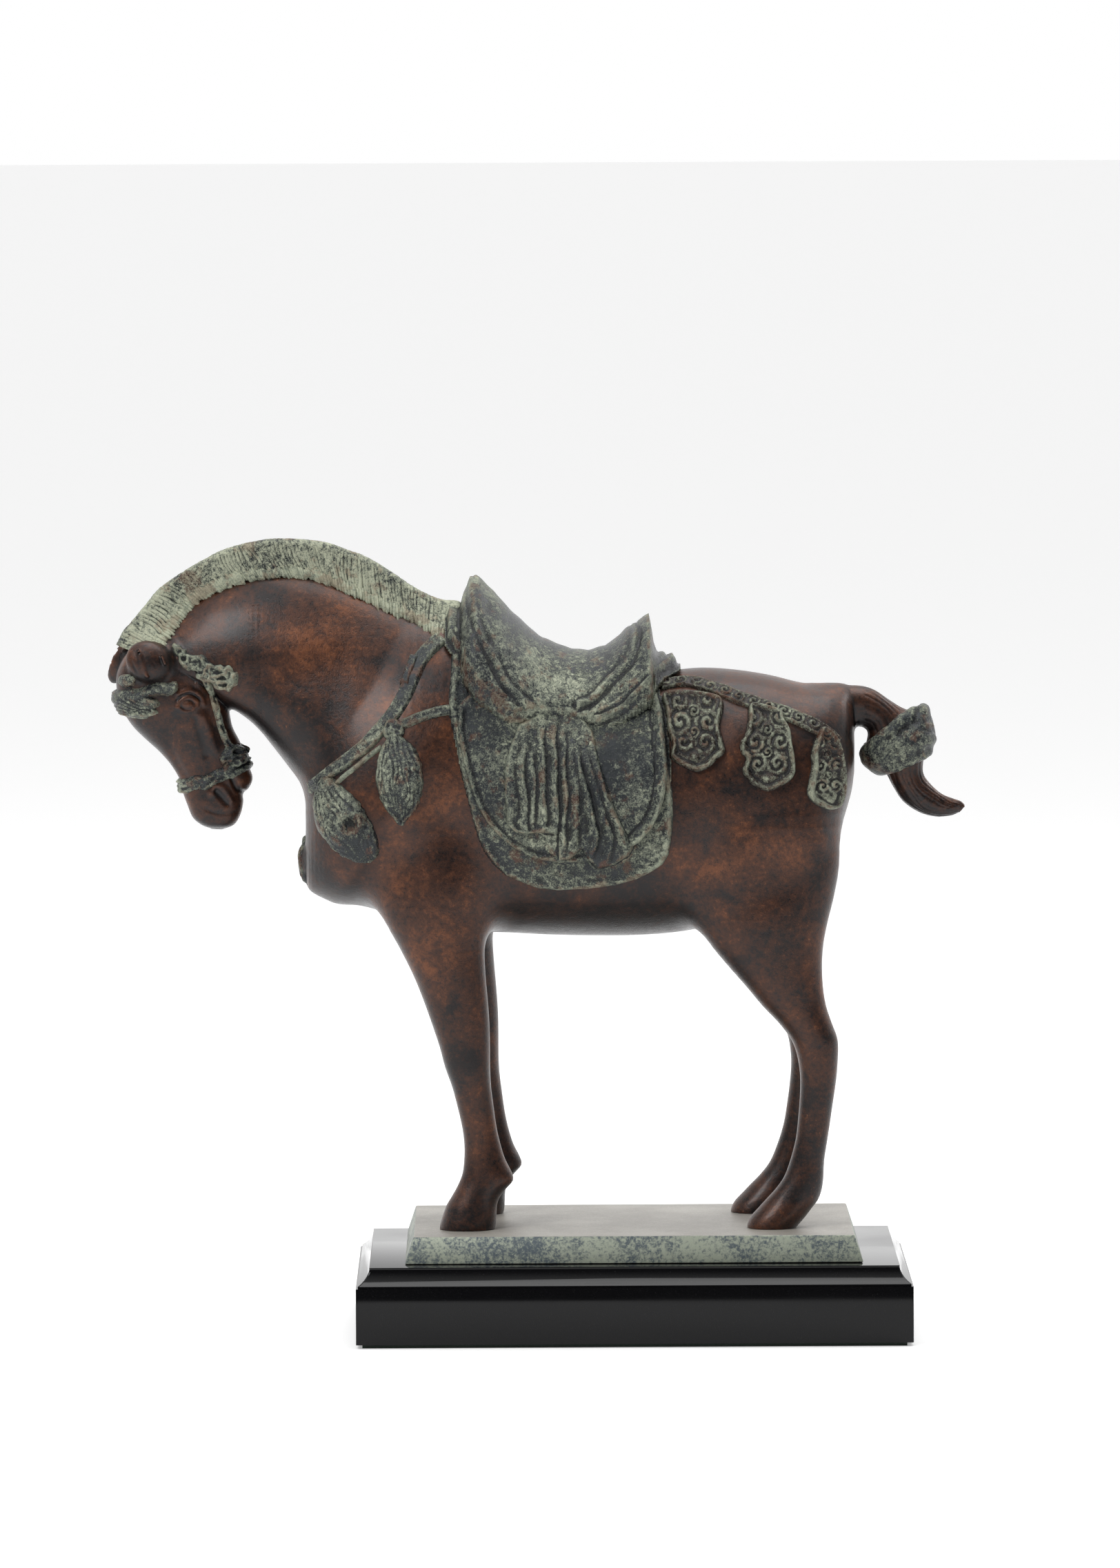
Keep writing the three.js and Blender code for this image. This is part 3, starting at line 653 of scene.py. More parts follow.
def egg(p, centre, radii, pitch=0.0, roll=0.0):
    """About the distance from an ellipsoid, pitched about y and then rolled about x."""
    q = p - np.array(centre, float)
    c, s = math.cos(pitch), math.sin(pitch)
    q = np.stack([c * q[:, 0] - s * q[:, 2], q[:, 1], s * q[:, 0] + c * q[:, 2]], 1)
    c, s = math.cos(roll), math.sin(roll)
    q = np.stack([q[:, 0], c * q[:, 1] - s * q[:, 2], s * q[:, 1] + c * q[:, 2]], 1)
    r = np.array(radii, float)
    k = np.linalg.norm(q / r, axis=1) + 1e-9
    return k * (k - 1) / (np.linalg.norm(q / r**2, axis=1) + 1e-9)


def normals_of(field, p):
    """A field's outward directions at a grid of points."""
    return unit(slope_of(field, p.reshape(-1, 3), 1.0)).reshape(p.shape)


def side_patch(skin, x_span, z_span, side, step):
    """A grid of points on a skin, seen from one side, with the skin's directions there."""
    x, z = np.meshgrid(np.arange(*x_span, step), np.arange(*z_span, step), indexing="ij")
    start = np.stack([x, np.full_like(x, BESIDE * side), z], -1).reshape(-1, 3)
    base = land(skin, start, np.array([0.0, -side, 0.0]), 66).reshape(*x.shape, 3)
    return on_skin(skin, base), normals_of(skin, base)


def wrap_patch(skin, x_span, angles, step):
    """A grid of points on the trunk: along x, and round it from one angle of rise to another."""
    count = int(abs(angles[1] - angles[0]) * 52 / step)
    x, turn = np.meshgrid(np.arange(*x_span, step), np.linspace(*angles, count), indexing="ij")
    out = np.stack([np.zeros_like(x), -np.cos(turn), np.sin(turn)], -1).reshape(-1, 3)
    middle = np.stack([x, np.zeros_like(x), np.full_like(x, HUB)], -1).reshape(-1, 3)
    base = land(skin, middle + out * 110, -out, 108, 54).reshape(*x.shape, 3)
    return base, normals_of(skin, base)


def ribbon(skin, line, side, width, step, rise):
    """A strap laid along a side-view line: width is a number or a function of the way along it, and
    rise gives its height over the skin from the distances along and across it, in millimetres."""
    fine = curve(np.asarray(line, float), 200)
    length = np.linalg.norm(np.diff(fine, axis=0), axis=1).sum()
    middle = curve(fine, max(int(length / step), 4))
    start = np.stack([middle[:, 0], np.full(len(middle), BESIDE * side), middle[:, 1]], 1)
    centre = settle(skin, land(skin, start, np.array([0.0, -side, 0.0]), 69.5), 4)
    ahead = unit(np.gradient(centre, axis=0))
    up = normals_of(skin, centre)
    across = unit(np.cross(up, ahead))
    along = np.concatenate([[0], np.cumsum(np.linalg.norm(np.diff(centre, axis=0), axis=1))])
    half = width(along / along[-1]) / 2 if callable(width) else np.full(len(along), width / 2)
    margin = 1.6
    count = int((2 * half.max() + 2 * margin) / step) + 2
    t = np.linspace(-1, 1, count)
    offset = t[None, :] * (half[:, None] + margin)
    base = centre[:, None, :] + across[:, None, :] * offset[..., None]
    base = settle(skin, base.reshape(-1, 3), 3).reshape(base.shape)
    ends = np.minimum(along, along[-1] - along)[:, None] + 0 * offset
    s = along[:, None] + 0 * offset
    high = rise(s, offset, half[:, None] + 0 * offset, ends)
    keep = high > -SUNK
    return shell(on_skin(skin, base), normals_of(skin, base), high, keep)


def strap_rise(high, pattern=None, roundness=1.2):
    """A strap's section, with rounded edges and ends, and a pattern added along it."""
    def rise(s, t, half, ends):
        d = np.maximum(np.abs(t) - half, 0.8 - ends)
        extra = pattern(s, t, half) if pattern else 0
        return rim(d, high, roundness) + np.where(d < 0, extra * np.clip(-d / roundness, 0, 1), 0)
    return rise


# ------------------------------------------------------------------ shaders


class Wire:
    """A shader socket that can be used in sums, and the tree it belongs to."""

    def __init__(self, tree, socket):
        self.tree, self.socket = tree, socket

    def sum_with(self, operation, other, swapped=False):
        node = self.tree.nodes.new("ShaderNodeMath")
        node.operation = operation
        first, second = (other, self) if swapped else (self, other)
        for side, value in zip(node.inputs, (first, second)):
            connect(self.tree, side, value)
        return Wire(self.tree, node.outputs[0])

    def __add__(self, other):
        return self.sum_with("ADD", other)

    __radd__ = __add__

    def __mul__(self, other):
        return self.sum_with("MULTIPLY", other)

    __rmul__ = __mul__

    def __sub__(self, other):
        return self.sum_with("SUBTRACT", other)

    def __rsub__(self, other):
        return self.sum_with("SUBTRACT", other, swapped=True)

    def __pow__(self, other):
        return self.sum_with("POWER", other)


def connect(tree, socket, value):
    """Links a socket to a wire, or sets its value."""
    if isinstance(value, Wire):
        tree.links.new(value.socket, socket)
    elif value is not None:
        socket.default_value = value


class Finish:
    """A material under construction."""

    def __init__(self, name):
        self.material = bpy.data.materials.new(name)
        self.material.use_nodes = True
        self.tree = self.material.node_tree
        self.tree.nodes.clear()

    def node(self, kind, settings=(), output=0, **values):
        """Adds a node of a type: first its settings, then the values or links of its sockets."""
        made = self.tree.nodes.new(kind if "Node" in kind else "ShaderNode" + kind)
        for key, value in dict(settings).items():
            if key == "stops":
                ramp = made.color_ramp
                while len(ramp.elements) < len(value):
                    ramp.elements.new(0.5)
                for element, (place, level) in zip(ramp.elements, value):
                    element.position = place
                    element.color = (level, level, level, 1) if np.isscalar(level) else (*level, 1)
            else:
                setattr(made, key, value)
        for key, value in values.items():
            plain = key.replace("_", " ").lower()
            socket = next(s for s in made.inputs if s.name.lower() == plain and s.enabled)
            connect(self.tree, socket, value)
        return Wire(self.tree, made.outputs[output] if isinstance(output, int)
                    else next(s for s in made.outputs if s.name == output and s.enabled))

    def place(self):
        """The place on the piece, in metres."""
        return self.node("TexCoord", output="Object")

    def noise(self, scale, detail=4.0, roughness=0.6, distortion=0.0):
        """Cloudy values round 0.5; the scale is in waves a metre."""
        return self.node("TexNoise", vector=self.place(), scale=scale, detail=detail,
                         roughness=roughness, distortion=distortion, output="Fac")

    def ramp(self, fac, *stops):
        """A level or colour that follows the stops given."""
        return self.node("ValToRGB", {"stops": stops}, fac=fac)

    def steep(self, value, low, high):
        """0 at one value and beyond it, 1 at the other, smooth between."""
        return self.node("MapRange", {"interpolation_type": "SMOOTHSTEP"}, value=value,
                         from_min=low, from_max=high)

    def mix(self, fac, one, other):
        """One colour where the factor is 0, the other where it is 1."""
        node = self.tree.nodes.new("ShaderNodeMix")
        node.data_type = "RGBA"
        connect(self.tree, node.inputs["Factor"], fac)
        for socket, value in ((node.inputs[6], one), (node.inputs[7], other)):
            connect(self.tree, socket, value if isinstance(value, Wire) else (*value, 1))
        return Wire(self.tree, node.outputs[2])

    def worn(self):
        """How far the surface stands out here, from 0 to 1."""
        return self.node("Attribute", {"attribute_name": "wear"}, output="Fac")

    def bumped(self, height, distance, strength=1.0):
        """Directions roughened by a height."""
        return self.node("Bump", strength=strength, distance=distance, height=height)

    def done(self, base, roughness, metallic, normal=None, **constants):
        """Ends the tree in a shader and returns the material."""
        surface = self.node("BsdfPrincipled", base_color=base if isinstance(base, Wire) else (*base, 1),
                            roughness=roughness, metallic=metallic, normal=normal, **constants)
        out = self.tree.nodes.new("ShaderNodeOutputMaterial")
        self.tree.links.new(surface.socket, out.inputs["Surface"])
        return self.material


def brown_bronze():
    """Waxed brown patina: clouded, speckled black, rubbed red-brown where it stands out, a little lighter on
    top as painted light and darkened underneath as painted shade.
    """
    look = bpy.context.scene.statue
    f = Finish("brown bronze")
    clouds = f.noise(15, 5, 0.6, 0.6)
    patches = f.noise(75, 7, 0.72, 0.5)
    grain = f.noise(420, 5, 0.8)
    speckle = f.noise(1500, 3, 0.7)
    normal_z = f.node("SeparateXYZ", vector=f.node("NewGeometry", output="Normal"), output="Z")
    # The upward normal's share of the level is painted light: faces that look up come out a little lighter.
    level = clouds * 0.95 + patches * 0.7 + grain * 0.6 + f.worn() * 0.3 + normal_z * 0.09
    color = f.mix(f.steep(level, 1.12, 1.37), (0.009, 0.006, 0.006), look.brown)
    color = f.mix(f.steep(level, 1.32, 1.56) * 0.8, color, look.rubbed)
    flecks = f.steep(speckle * 0.6 + grain * 0.5, 0.63, 0.72)
    color = f.mix(flecks * f.steep(patches, 0.45, 0.65) * 0.6, color, (0.3, 0.12, 0.05))
    specks = f.steep(speckle * 0.7 + grain * 0.5, 0.56, 0.44)
    color = f.mix(specks * 0.7, color, (0.007, 0.006, 0.007))
    # Painted shade: faces that look down, such as the belly, are darkened towards near-black.
    under = f.steep(normal_z + patches * 0.5, 0.1, -0.75)
    color = f.mix(under * 0.85, color, (0.006, 0.005, 0.006))
    hollow = f.steep(f.worn() + grain * 0.1, 0.52, 0.3)
    color = f.mix(hollow * 0.8, color, (0.008, 0.008, 0.009))
    rough = f.ramp(patches * 0.4 + speckle * 0.3 + grain * 0.4, (0.4, 0.24), (0.68, 0.46))
    normal = f.bumped(speckle * 0.5 + grain * 0.9 + patches * 0.8, 0.00026, 0.9)
    return f.done(color, rough, 0.5, normal, coat_weight=0.15, coat_roughness=0.2)


def green_bronze(name="verdigris bronze", ground=None, more=0.0):
    """Dark bronze, dry-brushed with pale verdigris; more spreads it."""
    look = bpy.context.scene.statue
    f = Finish(name)
    clouds = f.noise(30, 4, 0.55)
    patches = f.noise(430, 7, 0.72, 0.6)
    speckle = f.noise(1500, 4, 0.75)
    worn = f.worn()
    mask = f.steep(worn * 0.25 + clouds * 0.9 + patches * 1.1 + speckle * 0.9 + more, 1.5, 1.82)
    color = f.mix(mask * 0.9, ground or look.recess, look.verdigris)
    pale = f.steep(patches * 1.0 + speckle * 0.8 + clouds * 0.4 + more, 1.16, 1.36)
    color = f.mix(pale * 0.65, color, (0.44, 0.45, 0.33))
    brown = f.steep(f.noise(110, 5, 0.65) + worn * 0.2, 0.66, 0.76)
    color = f.mix(brown * 0.35, color, look.rubbed)
    hollow = f.steep(worn + speckle * 0.15, 0.56, 0.38)
    color = f.mix(hollow * 0.85, color, (0.009, 0.01, 0.011))
    rough = f.ramp(mask, (0.0, 0.27), (1.0, 0.6))
    normal = f.bumped(mask * 0.4 + speckle * 0.7 + patches * 1.1, 0.0003, 0.9)
    return f.done(color, rough, 0.35, normal)


def plate_bronze():
    """The plate's pale grey-green bronze, mottled blue-grey on its bevels."""
    f = Finish("plate bronze")
    clouds = f.noise(30, 5, 0.6)
    drops = f.noise(520, 7, 0.8, 0.3)
    grain = f.noise(1200, 2, 0.6)
    height = f.node("SeparateXYZ", vector=f.node("NewGeometry", output="Normal"), output="Z")
    bevel = f.steep(height, 0.98, 0.7)
    color = f.mix(f.steep(clouds * 0.6 + grain * 0.4, 0.4, 0.6), (0.3, 0.28, 0.25), (0.4, 0.38, 0.34))
    green = f.mix(f.steep(drops * 0.8 + clouds * 0.4, 0.55, 0.7), (0.31, 0.34, 0.27), (0.07, 0.09, 0.105))
    color = f.mix(bevel, color, green)
    normal = f.bumped(drops * 0.6 + grain * 0.5, 0.0002, 0.6)
    return f.done(color, f.ramp(drops, (0.3, 0.34), (0.7, 0.5)), 0.25, normal)


def black_lacquer():
    """Rubbed black lacquer, with faint brush marks and dust."""
    f = Finish("black lacquer")
    wave = f.noise(14, 3, 0.5)
    dust = f.steep(f.noise(2200, 2, 0.5), 0.64, 0.74)
    color = f.mix(dust * 0.3, (0.003, 0.003, 0.0035), (0.04, 0.04, 0.042))
    normal = f.bumped(wave + f.noise(160, 2, 0.5) * 0.1, 0.0001, 0.15)
    return f.done(color, f.ramp(wave, (0.3, 0.05), (0.7, 0.1)), 0, normal, ior=1.32)


def green_felt():
    """Dark wool felt: matted fibres."""
    f = Finish("felt")
    fibre = f.noise(1800, 5, 0.8, 1.5)
    color = f.mix(fibre, (0.008, 0.016, 0.011), (0.03, 0.05, 0.035))
    return f.done(color, 0.95, 0, f.bumped(fibre, 0.0004, 1.0), sheen_weight=0.3)


def zinc_steel():
    """Zinc-plated steel: bright, faintly clouded."""
    f = Finish("zinc steel")
    clouds = f.noise(300, 4, 0.6)
    color = f.mix(clouds, (0.42, 0.43, 0.45), (0.6, 0.61, 0.6))
    return f.done(color, f.ramp(clouds, (0.3, 0.28), (0.7, 0.4)), 1.0, f.bumped(clouds, 0.00005, 0.4))


def pale_floor():
    """A plain white floor that glows a little, so that it stays white in shade."""
    f = Finish("pale floor")
    return f.done((0.8, 0.8, 0.8), 0.7, 0, emission_color=(1, 1, 1, 1), emission_strength=0.28)


class Growth(Finish):
    """A node tree that grows a mesh on a guide mesh."""

    def __init__(self, name, **kinds):
        self.tree = bpy.data.node_groups.new(name, "GeometryNodeTree")
        for label, kind in {"Guide": "Geometry", **kinds, "Material": "Material"}.items():
            self.tree.interface.new_socket(label, in_out="INPUT", socket_type="NodeSocket" + kind)
        self.tree.interface.new_socket("Grown", in_out="OUTPUT", socket_type="NodeSocketGeometry")
        self.inlet = self.tree.nodes.new("NodeGroupInput")

    def given(self, label):
        """One of the tree's inputs."""
        return Wire(self.tree, self.inlet.outputs[label])

    def random(self, low, high, seed):
        """A number for each point, between two."""
        return self.node("FunctionNodeRandomValue", {"data_type": "FLOAT"}, output="Value", min=low, max=high,
                         seed=seed)

    def carried(self, name):
        """A direction kept on the guide's points."""
        return self.node("GeometryNodeInputNamedAttribute", {"data_type": "FLOAT_VECTOR"}, name=name,
                         output="Attribute")

    def grown(self, geometry, guide, **values):
        """Ends the tree, runs it on the guide with its inputs' values and returns the plain mesh."""
        whole = self.node("GeometryNodeRealizeInstances", geometry=geometry)
        dressed = self.node("GeometryNodeSetMaterial", geometry=whole, material=self.given("Material"))
        outlet = self.tree.nodes.new("NodeGroupOutput")
        self.tree.links.new(dressed.socket, outlet.inputs["Grown"])
        piece = bpy.data.objects.new(self.tree.name, guide)
        bpy.context.scene.collection.objects.link(piece)
        growth = piece.modifiers.new("growth", "NODES")
        growth.node_group = self.tree
        for item in self.tree.interface.items_tree:
            if item.in_out == "INPUT" and item.name in values:
                growth[item.identifier] = values[item.name]
        mesh = bpy.data.meshes.new_from_object(piece.evaluated_get(bpy.context.evaluated_depsgraph_get()))
        bpy.data.objects.remove(piece)
        return mesh


# ------------------------------------------------------------------ lines of the trappings

CLOTH = [
    (-80, 320), (-84.5, 285), (-86, 262), (-87, 249), (-85, 240), (-83, 232), (-81, 219), (-78, 207),
    (-75.5, 197), (-73, 188), (-70, 181), (-66, 175.5), (-60, 170), (-53, 167), (-45, 164), (-35, 163),
    (-22, 163.5), (-8, 165.3), (2, 168), (9, 171.5), (14.5, 175), (17.5, 180), (19, 189), (19.6, 200),
    (19, 212), (17, 226), (14.5, 245), (13.5, 256), (16, 264), (21, 270), (22, 320),
]
SKIRT = [
    (-83, 250), (-83, 239), (-80, 224), (-76.5, 212), (-73, 203), (-68, 195), (-62.5, 189), (-57, 184.5),
    (-50, 180.5), (-43, 178.2), (-33, 177), (-20, 177.5), (-8, 181), (0, 184), (4, 186.5), (9.5, 192.5),
    (13.5, 200), (16, 209), (17.3, 219), (16.2, 232), (15, 246), (10, 262), (-30, 270), (-70, 262),
]
SEAT_TOP = [
    (-90, 282), (-86, 283), (-83, 288), (-80.5, 297), (-79, 302.5), (-76.5, 306.5), (-74, 308),
    (-71.5, 306), (-65, 299), (-58, 291), (-50, 283.5), (-42, 277), (-35, 273.6), (-28, 271.2),
    (-20, 270.5), (-12, 272.5), (-5, 278), (2, 285), (7, 289), (9, 290), (10.2, 284), (11.3, 276),
    (13, 271), (16, 270), (24, 268),
]
FRONT_BOARD = [(-86, 283), (-80, 274), (-75, 266), (-70, 259), (-63, 253), (-55, 248.5)]
FRONT_EDGE = [
    (-76.5, 306), (-75, 294), (-72, 284), (-67, 274), (-63, 266), (-58, 258), (-53, 253), (-47, 248.5),
]
REAR_EDGE = [(3, 283), (0, 271), (-5, 265), (-12, 258), (-18, 252), (-25, 249)]
REAR_BOARD = [(20, 269), (10, 263), (5, 258), (0, 253), (-5, 248.5), (-12, 245), (-17, 243.5)]
SEAT = [
    (-87, 283), (-80, 273), (-75, 265), (-70, 258), (-63, 252), (-55, 247.5), (-47, 247.5), (-33, 246.5),
    (-22, 244), (-16, 242.6), (-12, 244.3), (-5, 247.8), (0, 252), (5, 257), (10, 262), (15, 266),
    (22, 269), (22, 330), (-87, 330),
]
DRAPE = [
    (-54, 240), (-58, 230), (-60.5, 222), (-60.3, 210), (-59.6, 199), (-58.6, 194.6), (-55, 191.6),
    (-50, 189.8), (-45, 190.8), (-41.5, 189), (-39.5, 181.5), (-35, 178.2), (-29, 179), (-23.5, 183.5),
    (-21, 178.8), (-16, 174.6), (-8, 176.6), (-1.5, 180.6), (0.5, 184), (-2.5, 191), (-6.5, 199),
    (-10.5, 210), (-15, 222), (-18, 236), (-24, 243), (-40, 246),
]
DRAPE_RIM = [
    (-58.6, 196.5), (-55, 192.6), (-50, 190.6), (-45, 191.8), (-40, 193.2), (-36.6, 192.6), (-35.4, 190.4),
]
# Each pleat's ridge, how wide its front and its back slope are, and how far it stands out.
FOLDS = [
    ([(-57.5, 232), (-57.8, 214), (-57, 197)], 1.2, 3.0, 1.3),
    ([(-51.5, 230), (-51, 214), (-49.6, 204), (-49, 192)], 2.6, 1.0, 1.8),
    ([(-47, 226), (-46, 212), (-45.6, 202), (-47, 195)], 2.0, 0.8, 1.3),
    ([(-42.5, 240), (-42, 222), (-41, 208), (-41.4, 193)], 2.4, 1.1, 1.6),
    ([(-36.4, 240), (-36.2, 222), (-35.2, 206), (-35.6, 190)], 2.6, 0.9, 2.0),
    ([(-32.4, 236), (-31.6, 222), (-31, 205), (-32, 184)], 1.6, 0.8, 1.5),
    ([(-28, 232), (-26, 212), (-25.6, 198), (-28, 184)], 2.4, 1.4, 1.4),
    ([(-26.4, 230), (-21.6, 211), (-18, 199), (-16.4, 190), (-19, 181)], 2.8, 0.9, 2.2),
    ([(-21, 226), (-16.4, 211), (-12.6, 200), (-10, 190), (-11, 178)], 2.2, 1.0, 1.5),
    ([(-17, 224), (-12, 209), (-7.6, 198), (-4, 190), (-1.5, 182)], 2.6, 0.8, 2.0),
]
COLLAR = [
    (-89, 282), (-94, 278.5), (-100, 272), (-104, 264), (-108, 255), (-113, 247), (-119, 240),
    (-126, 232.5), (-134, 226), (-142, 220), (-148.5, 214.5), (-153.5, 210.5),
]
LOWER_STRAP = [(-118, 232), (-124, 227.6), (-131, 221.8), (-137.4, 216.6), (-142, 211.6)]
SIDE_STRAP = [(-112, 240.5), (-106, 243), (-100, 245.5), (-90, 248.3), (-84, 248.6)]
STRAP_END = [(-102.2, 274), (-105.2, 266.5), (-108, 259)]
KNOT = [
    (-118, 239), (-116, 243.4), (-111.6, 244.6), (-107.8, 241.6), (-108.4, 236.6), (-112.6, 234),
    (-117, 235.4),
]
SHOULDER_TASSEL = [
    (-113, 238), (-106, 234), (-100.8, 227), (-98.8, 217), (-99.8, 208), (-103, 201.4), (-106.6, 196.8),
    (-109.4, 194), (-113, 197.4), (-117.4, 203), (-120.6, 210), (-121.6, 218), (-120, 227), (-117, 234),
]
CHEST_TASSEL = [
    (-145.5, 217), (-150, 208), (-149.4, 195), (-144.4, 185.6), (-136.6, 179), (-128.6, 176),
    (-121.4, 178.6), (-120.4, 187), (-124.6, 197), (-130, 206), (-138, 213),
]
CRUPPER = [
    (13, 258), (20, 259.4), (27, 260), (35, 258.6), (42, 256.4), (50, 253.4), (58, 250.6), (66, 248),
    (72, 246), (80, 243), (88, 239), (94, 235), (98.5, 230),
]
PENDANTS = [
    [
        (16.5, 255), (16.6, 245), (17, 238), (19, 232), (18.2, 226.5), (22, 222.6), (27.6, 220), (31, 219),
        (36.4, 220.8), (41, 225), (44.4, 228), (43.8, 233), (42.2, 240), (42.4, 253),
    ],
    [
        (57, 250), (55.2, 243), (54, 237), (51.4, 232.6), (51.8, 228), (54, 225), (52.4, 220),
        (54.6, 215.4), (59, 211.6), (65, 209.6), (70.6, 211.8), (75.4, 214.6), (77.8, 218.6), (77.6, 225),
        (76.5, 232), (75.6, 238), (72.6, 243), (70.6, 247),
    ],
    [
        (90, 239), (87, 233), (85.2, 227), (85.4, 221), (84, 214), (83.2, 208.6), (85.4, 204.4),
        (89.6, 201.4), (94, 199.6), (97.6, 200.6), (100.2, 206), (101, 215), (100, 225), (98.2, 232),
        (95, 237),
    ],
]
# Place, spread and height of each swelling, or hollow where the height is negative.
MUSCLES = [
    ((-108, 40, 196), (9, 14, 11), 3.4), ((-100, 42, 214), (12, 12, 22), 1.6),
    ((-84, 42, 190), (9, 12, 16), -1.4), ((-92, 36, 166), (12, 14, 14), 1.8),
    ((-132, 34, 196), (12, 14, 14), 1.2), ((-146, 13, 187), (10, 9, 18), 2.4),
    ((-151, 0, 176), (9, 4.5, 18), -2.4), ((48, 40, 176), (13, 14, 16), 1.6),
    ((34, 44, 182), (9, 10, 16), -1.6), ((76, 40, 196), (16, 14, 22), 2.2),
    ((88, 36, 176), (9, 12, 16), 1.2), ((52, 46, 236), (10, 12, 12), 1.4),
    ((66, 42, 232), (9, 12, 12), -0.8), ((60, 30, 150), (10, 12, 14), 1.2),
    ((-98, 33, 146), (9, 12, 14), 1.2), ((-126, 22, 236), (14, 10, 16), -1.2),
    ((-170, 22, 262), (22, 9, 9), -1.3), ((-150, 26, 282), (26, 9, 9), 1.0),
]


def flesh(p):
    """The body with its muscles."""
    d = body(p)
    near = np.abs(d) < 12
    q = p[near]
    for place, spread, high in MUSCLES:
        d[near] -= bump(q, place, spread, high)
    return d


# Lines on the side of the head, the width of each and how far it stands out or in.
FACE_LINES = [
    ([(-216.4, 249), (-214, 252.6), (-210.4, 253.6), (-207, 251.4)], 0.8, 1.2),
    ([(-216.4, 249), (-213.2, 247), (-209.6, 247.4), (-207, 250)], 0.8, 0.9),
    ([(-216, 255.4), (-210.8, 257), (-205.8, 254.6), (-203.8, 250.4)], 1.0, 0.9),
    ([(-216.6, 252.6), (-213.4, 255), (-209.2, 255.2), (-205.6, 252.6)], 0.6, -0.6),
    ([(-204.6, 244), (-201.4, 236), (-199, 228.6)], 2.4, 1.3),
    ([(-207.6, 243), (-205, 234), (-203.4, 226)], 2.0, -0.6),
    ([(-218, 244), (-221, 234), (-218, 224), (-212.6, 214)], 2.6, -0.7),
    ([(-198.4, 208.2), (-195.4, 205), (-193.2, 202.6)], 1.5, -1.1),
    ([(-200.6, 207.4), (-198.6, 210.6), (-195, 209.4), (-191.4, 203.6)], 1.7, 1.0),
    ([(-184.5, 206.5), (-188.4, 209.2), (-190.6, 214)], 1.1, -1.9),
    ([(-203.4, 199.6), (-197, 197.4), (-189, 197.6)], 1.2, -0.4),
]


def face(p):
    """The head: the body's own form, with eyes, lids, nostrils, lips and ears."""
    if "face" not in SHARED:
        SHARED["face"] = []
        for line, width, high in FACE_LINES:
            flat_line = curve(np.array(line, float), 9)
            start = np.stack([flat_line[:, 0], np.full(9, -30.0), flat_line[:, 1]], 1)
            SHARED["face"].append((land(head_sweep, start, np.array([0.0, 1.0, 0.0]), 29), width, high))
    d = flesh(p)
    near = d < 9
    q = p[near]
    own = d[near]
    own -= bump(q, (-184, 0, 212.5), (5.5, 8, 4.6), 3.2) + bump(q, (-183.5, 0, 205.4), (3.4, 10, 1.8), -1.4)
    own -= bump(q, (-206, 15, 262), (8, 5, 8), 0.9) + bump(q, (-221, 13, 240), (6, 4, 7), -0.8)
    left = q * np.array([1, 0, 1]) + np.stack([0 * q[:, 1], -np.abs(q[:, 1]), 0 * q[:, 1]], 1)
    for line, width, high in SHARED["face"]:
        reach = 3 * width
        box = np.all((left > line.min(axis=0) - reach) & (left < line.max(axis=0) + reach), axis=1)
        own[box] -= high * np.exp(-((strip_distance(left[box], line) / width) ** 2))
    eye_y = SHARED["face"][1][0][4, 1]
    own = blend(own, egg(left, (-211.8, eye_y + 1.4, 250.2), (3.6, 2.7, 2.7), 0.25), 0.8)
    near_ear = egg(q, (-230, -15.5, 271), (11, 6.2, 9.6), 0.35, 0.25)
    cup = near_ear
    for a, b in (((-235, -20.6, 277), (-230.6, -21.4, 264)), ((-225.4, -21.4, 279), (-222, -20.6, 270))):
        cup = blend(cup, strip_distance(q, np.array([a, b])) - 0.7, 1.2)
    for a, b in (((-230.4, -22.4, 277), (-226, -22.6, 268)), ((-238.6, -20.6, 272), (-235, -21.2, 264))):
        cup = -blend(-cup, strip_distance(q, np.array([a, b])) - 0.6, 1.0)
    far_ear = egg(q, (-244, 11.5, 269), (5.4, 5.2, 11.4), 0.42, -0.2)
    far_cup = -blend(-far_ear, egg(q, (-248.5, 13, 270), (3.4, 3.2, 8), 0.42, -0.2), 1.0)
    own = blend(blend(own, cup, 3.5), far_cup, 3.5)
    d[near] = own
    return d


def tail_hair(p):
    """The tail, with its hair in locks that run to the tip."""
    d = flesh(p)
    near = (d < 5) & (p[:, 0] > 106)
    q = p[near]
    if "tail" not in SHARED:
        rows = between(TAIL, 60)
        SHARED["tail"] = (rows[:, 0:2] + rows[:, 2:4]) / 2
    middle = SHARED["tail"]
    away_from, along = from_line(q[:, [0, 2]], middle)
    ahead = np.gradient(middle, axis=0)
    i = np.argmin(np.linalg.norm(q[:, None, [0, 2]] - middle[None], axis=2), axis=1)
    sign = np.sign(ahead[i, 0] * (q[:, 2] - middle[i, 1]) - ahead[i, 1] * (q[:, 0] - middle[i, 0]))
    turn = np.arctan2(q[:, 1], away_from * sign)
    strength = np.clip((along - 14) / 12, 0.25, 1)
    d[near] += 0.25 * strength * (1 - lock(turn * 2.8 + 0.8 * waver(along / 6, turn * 2, 72)))
    return d


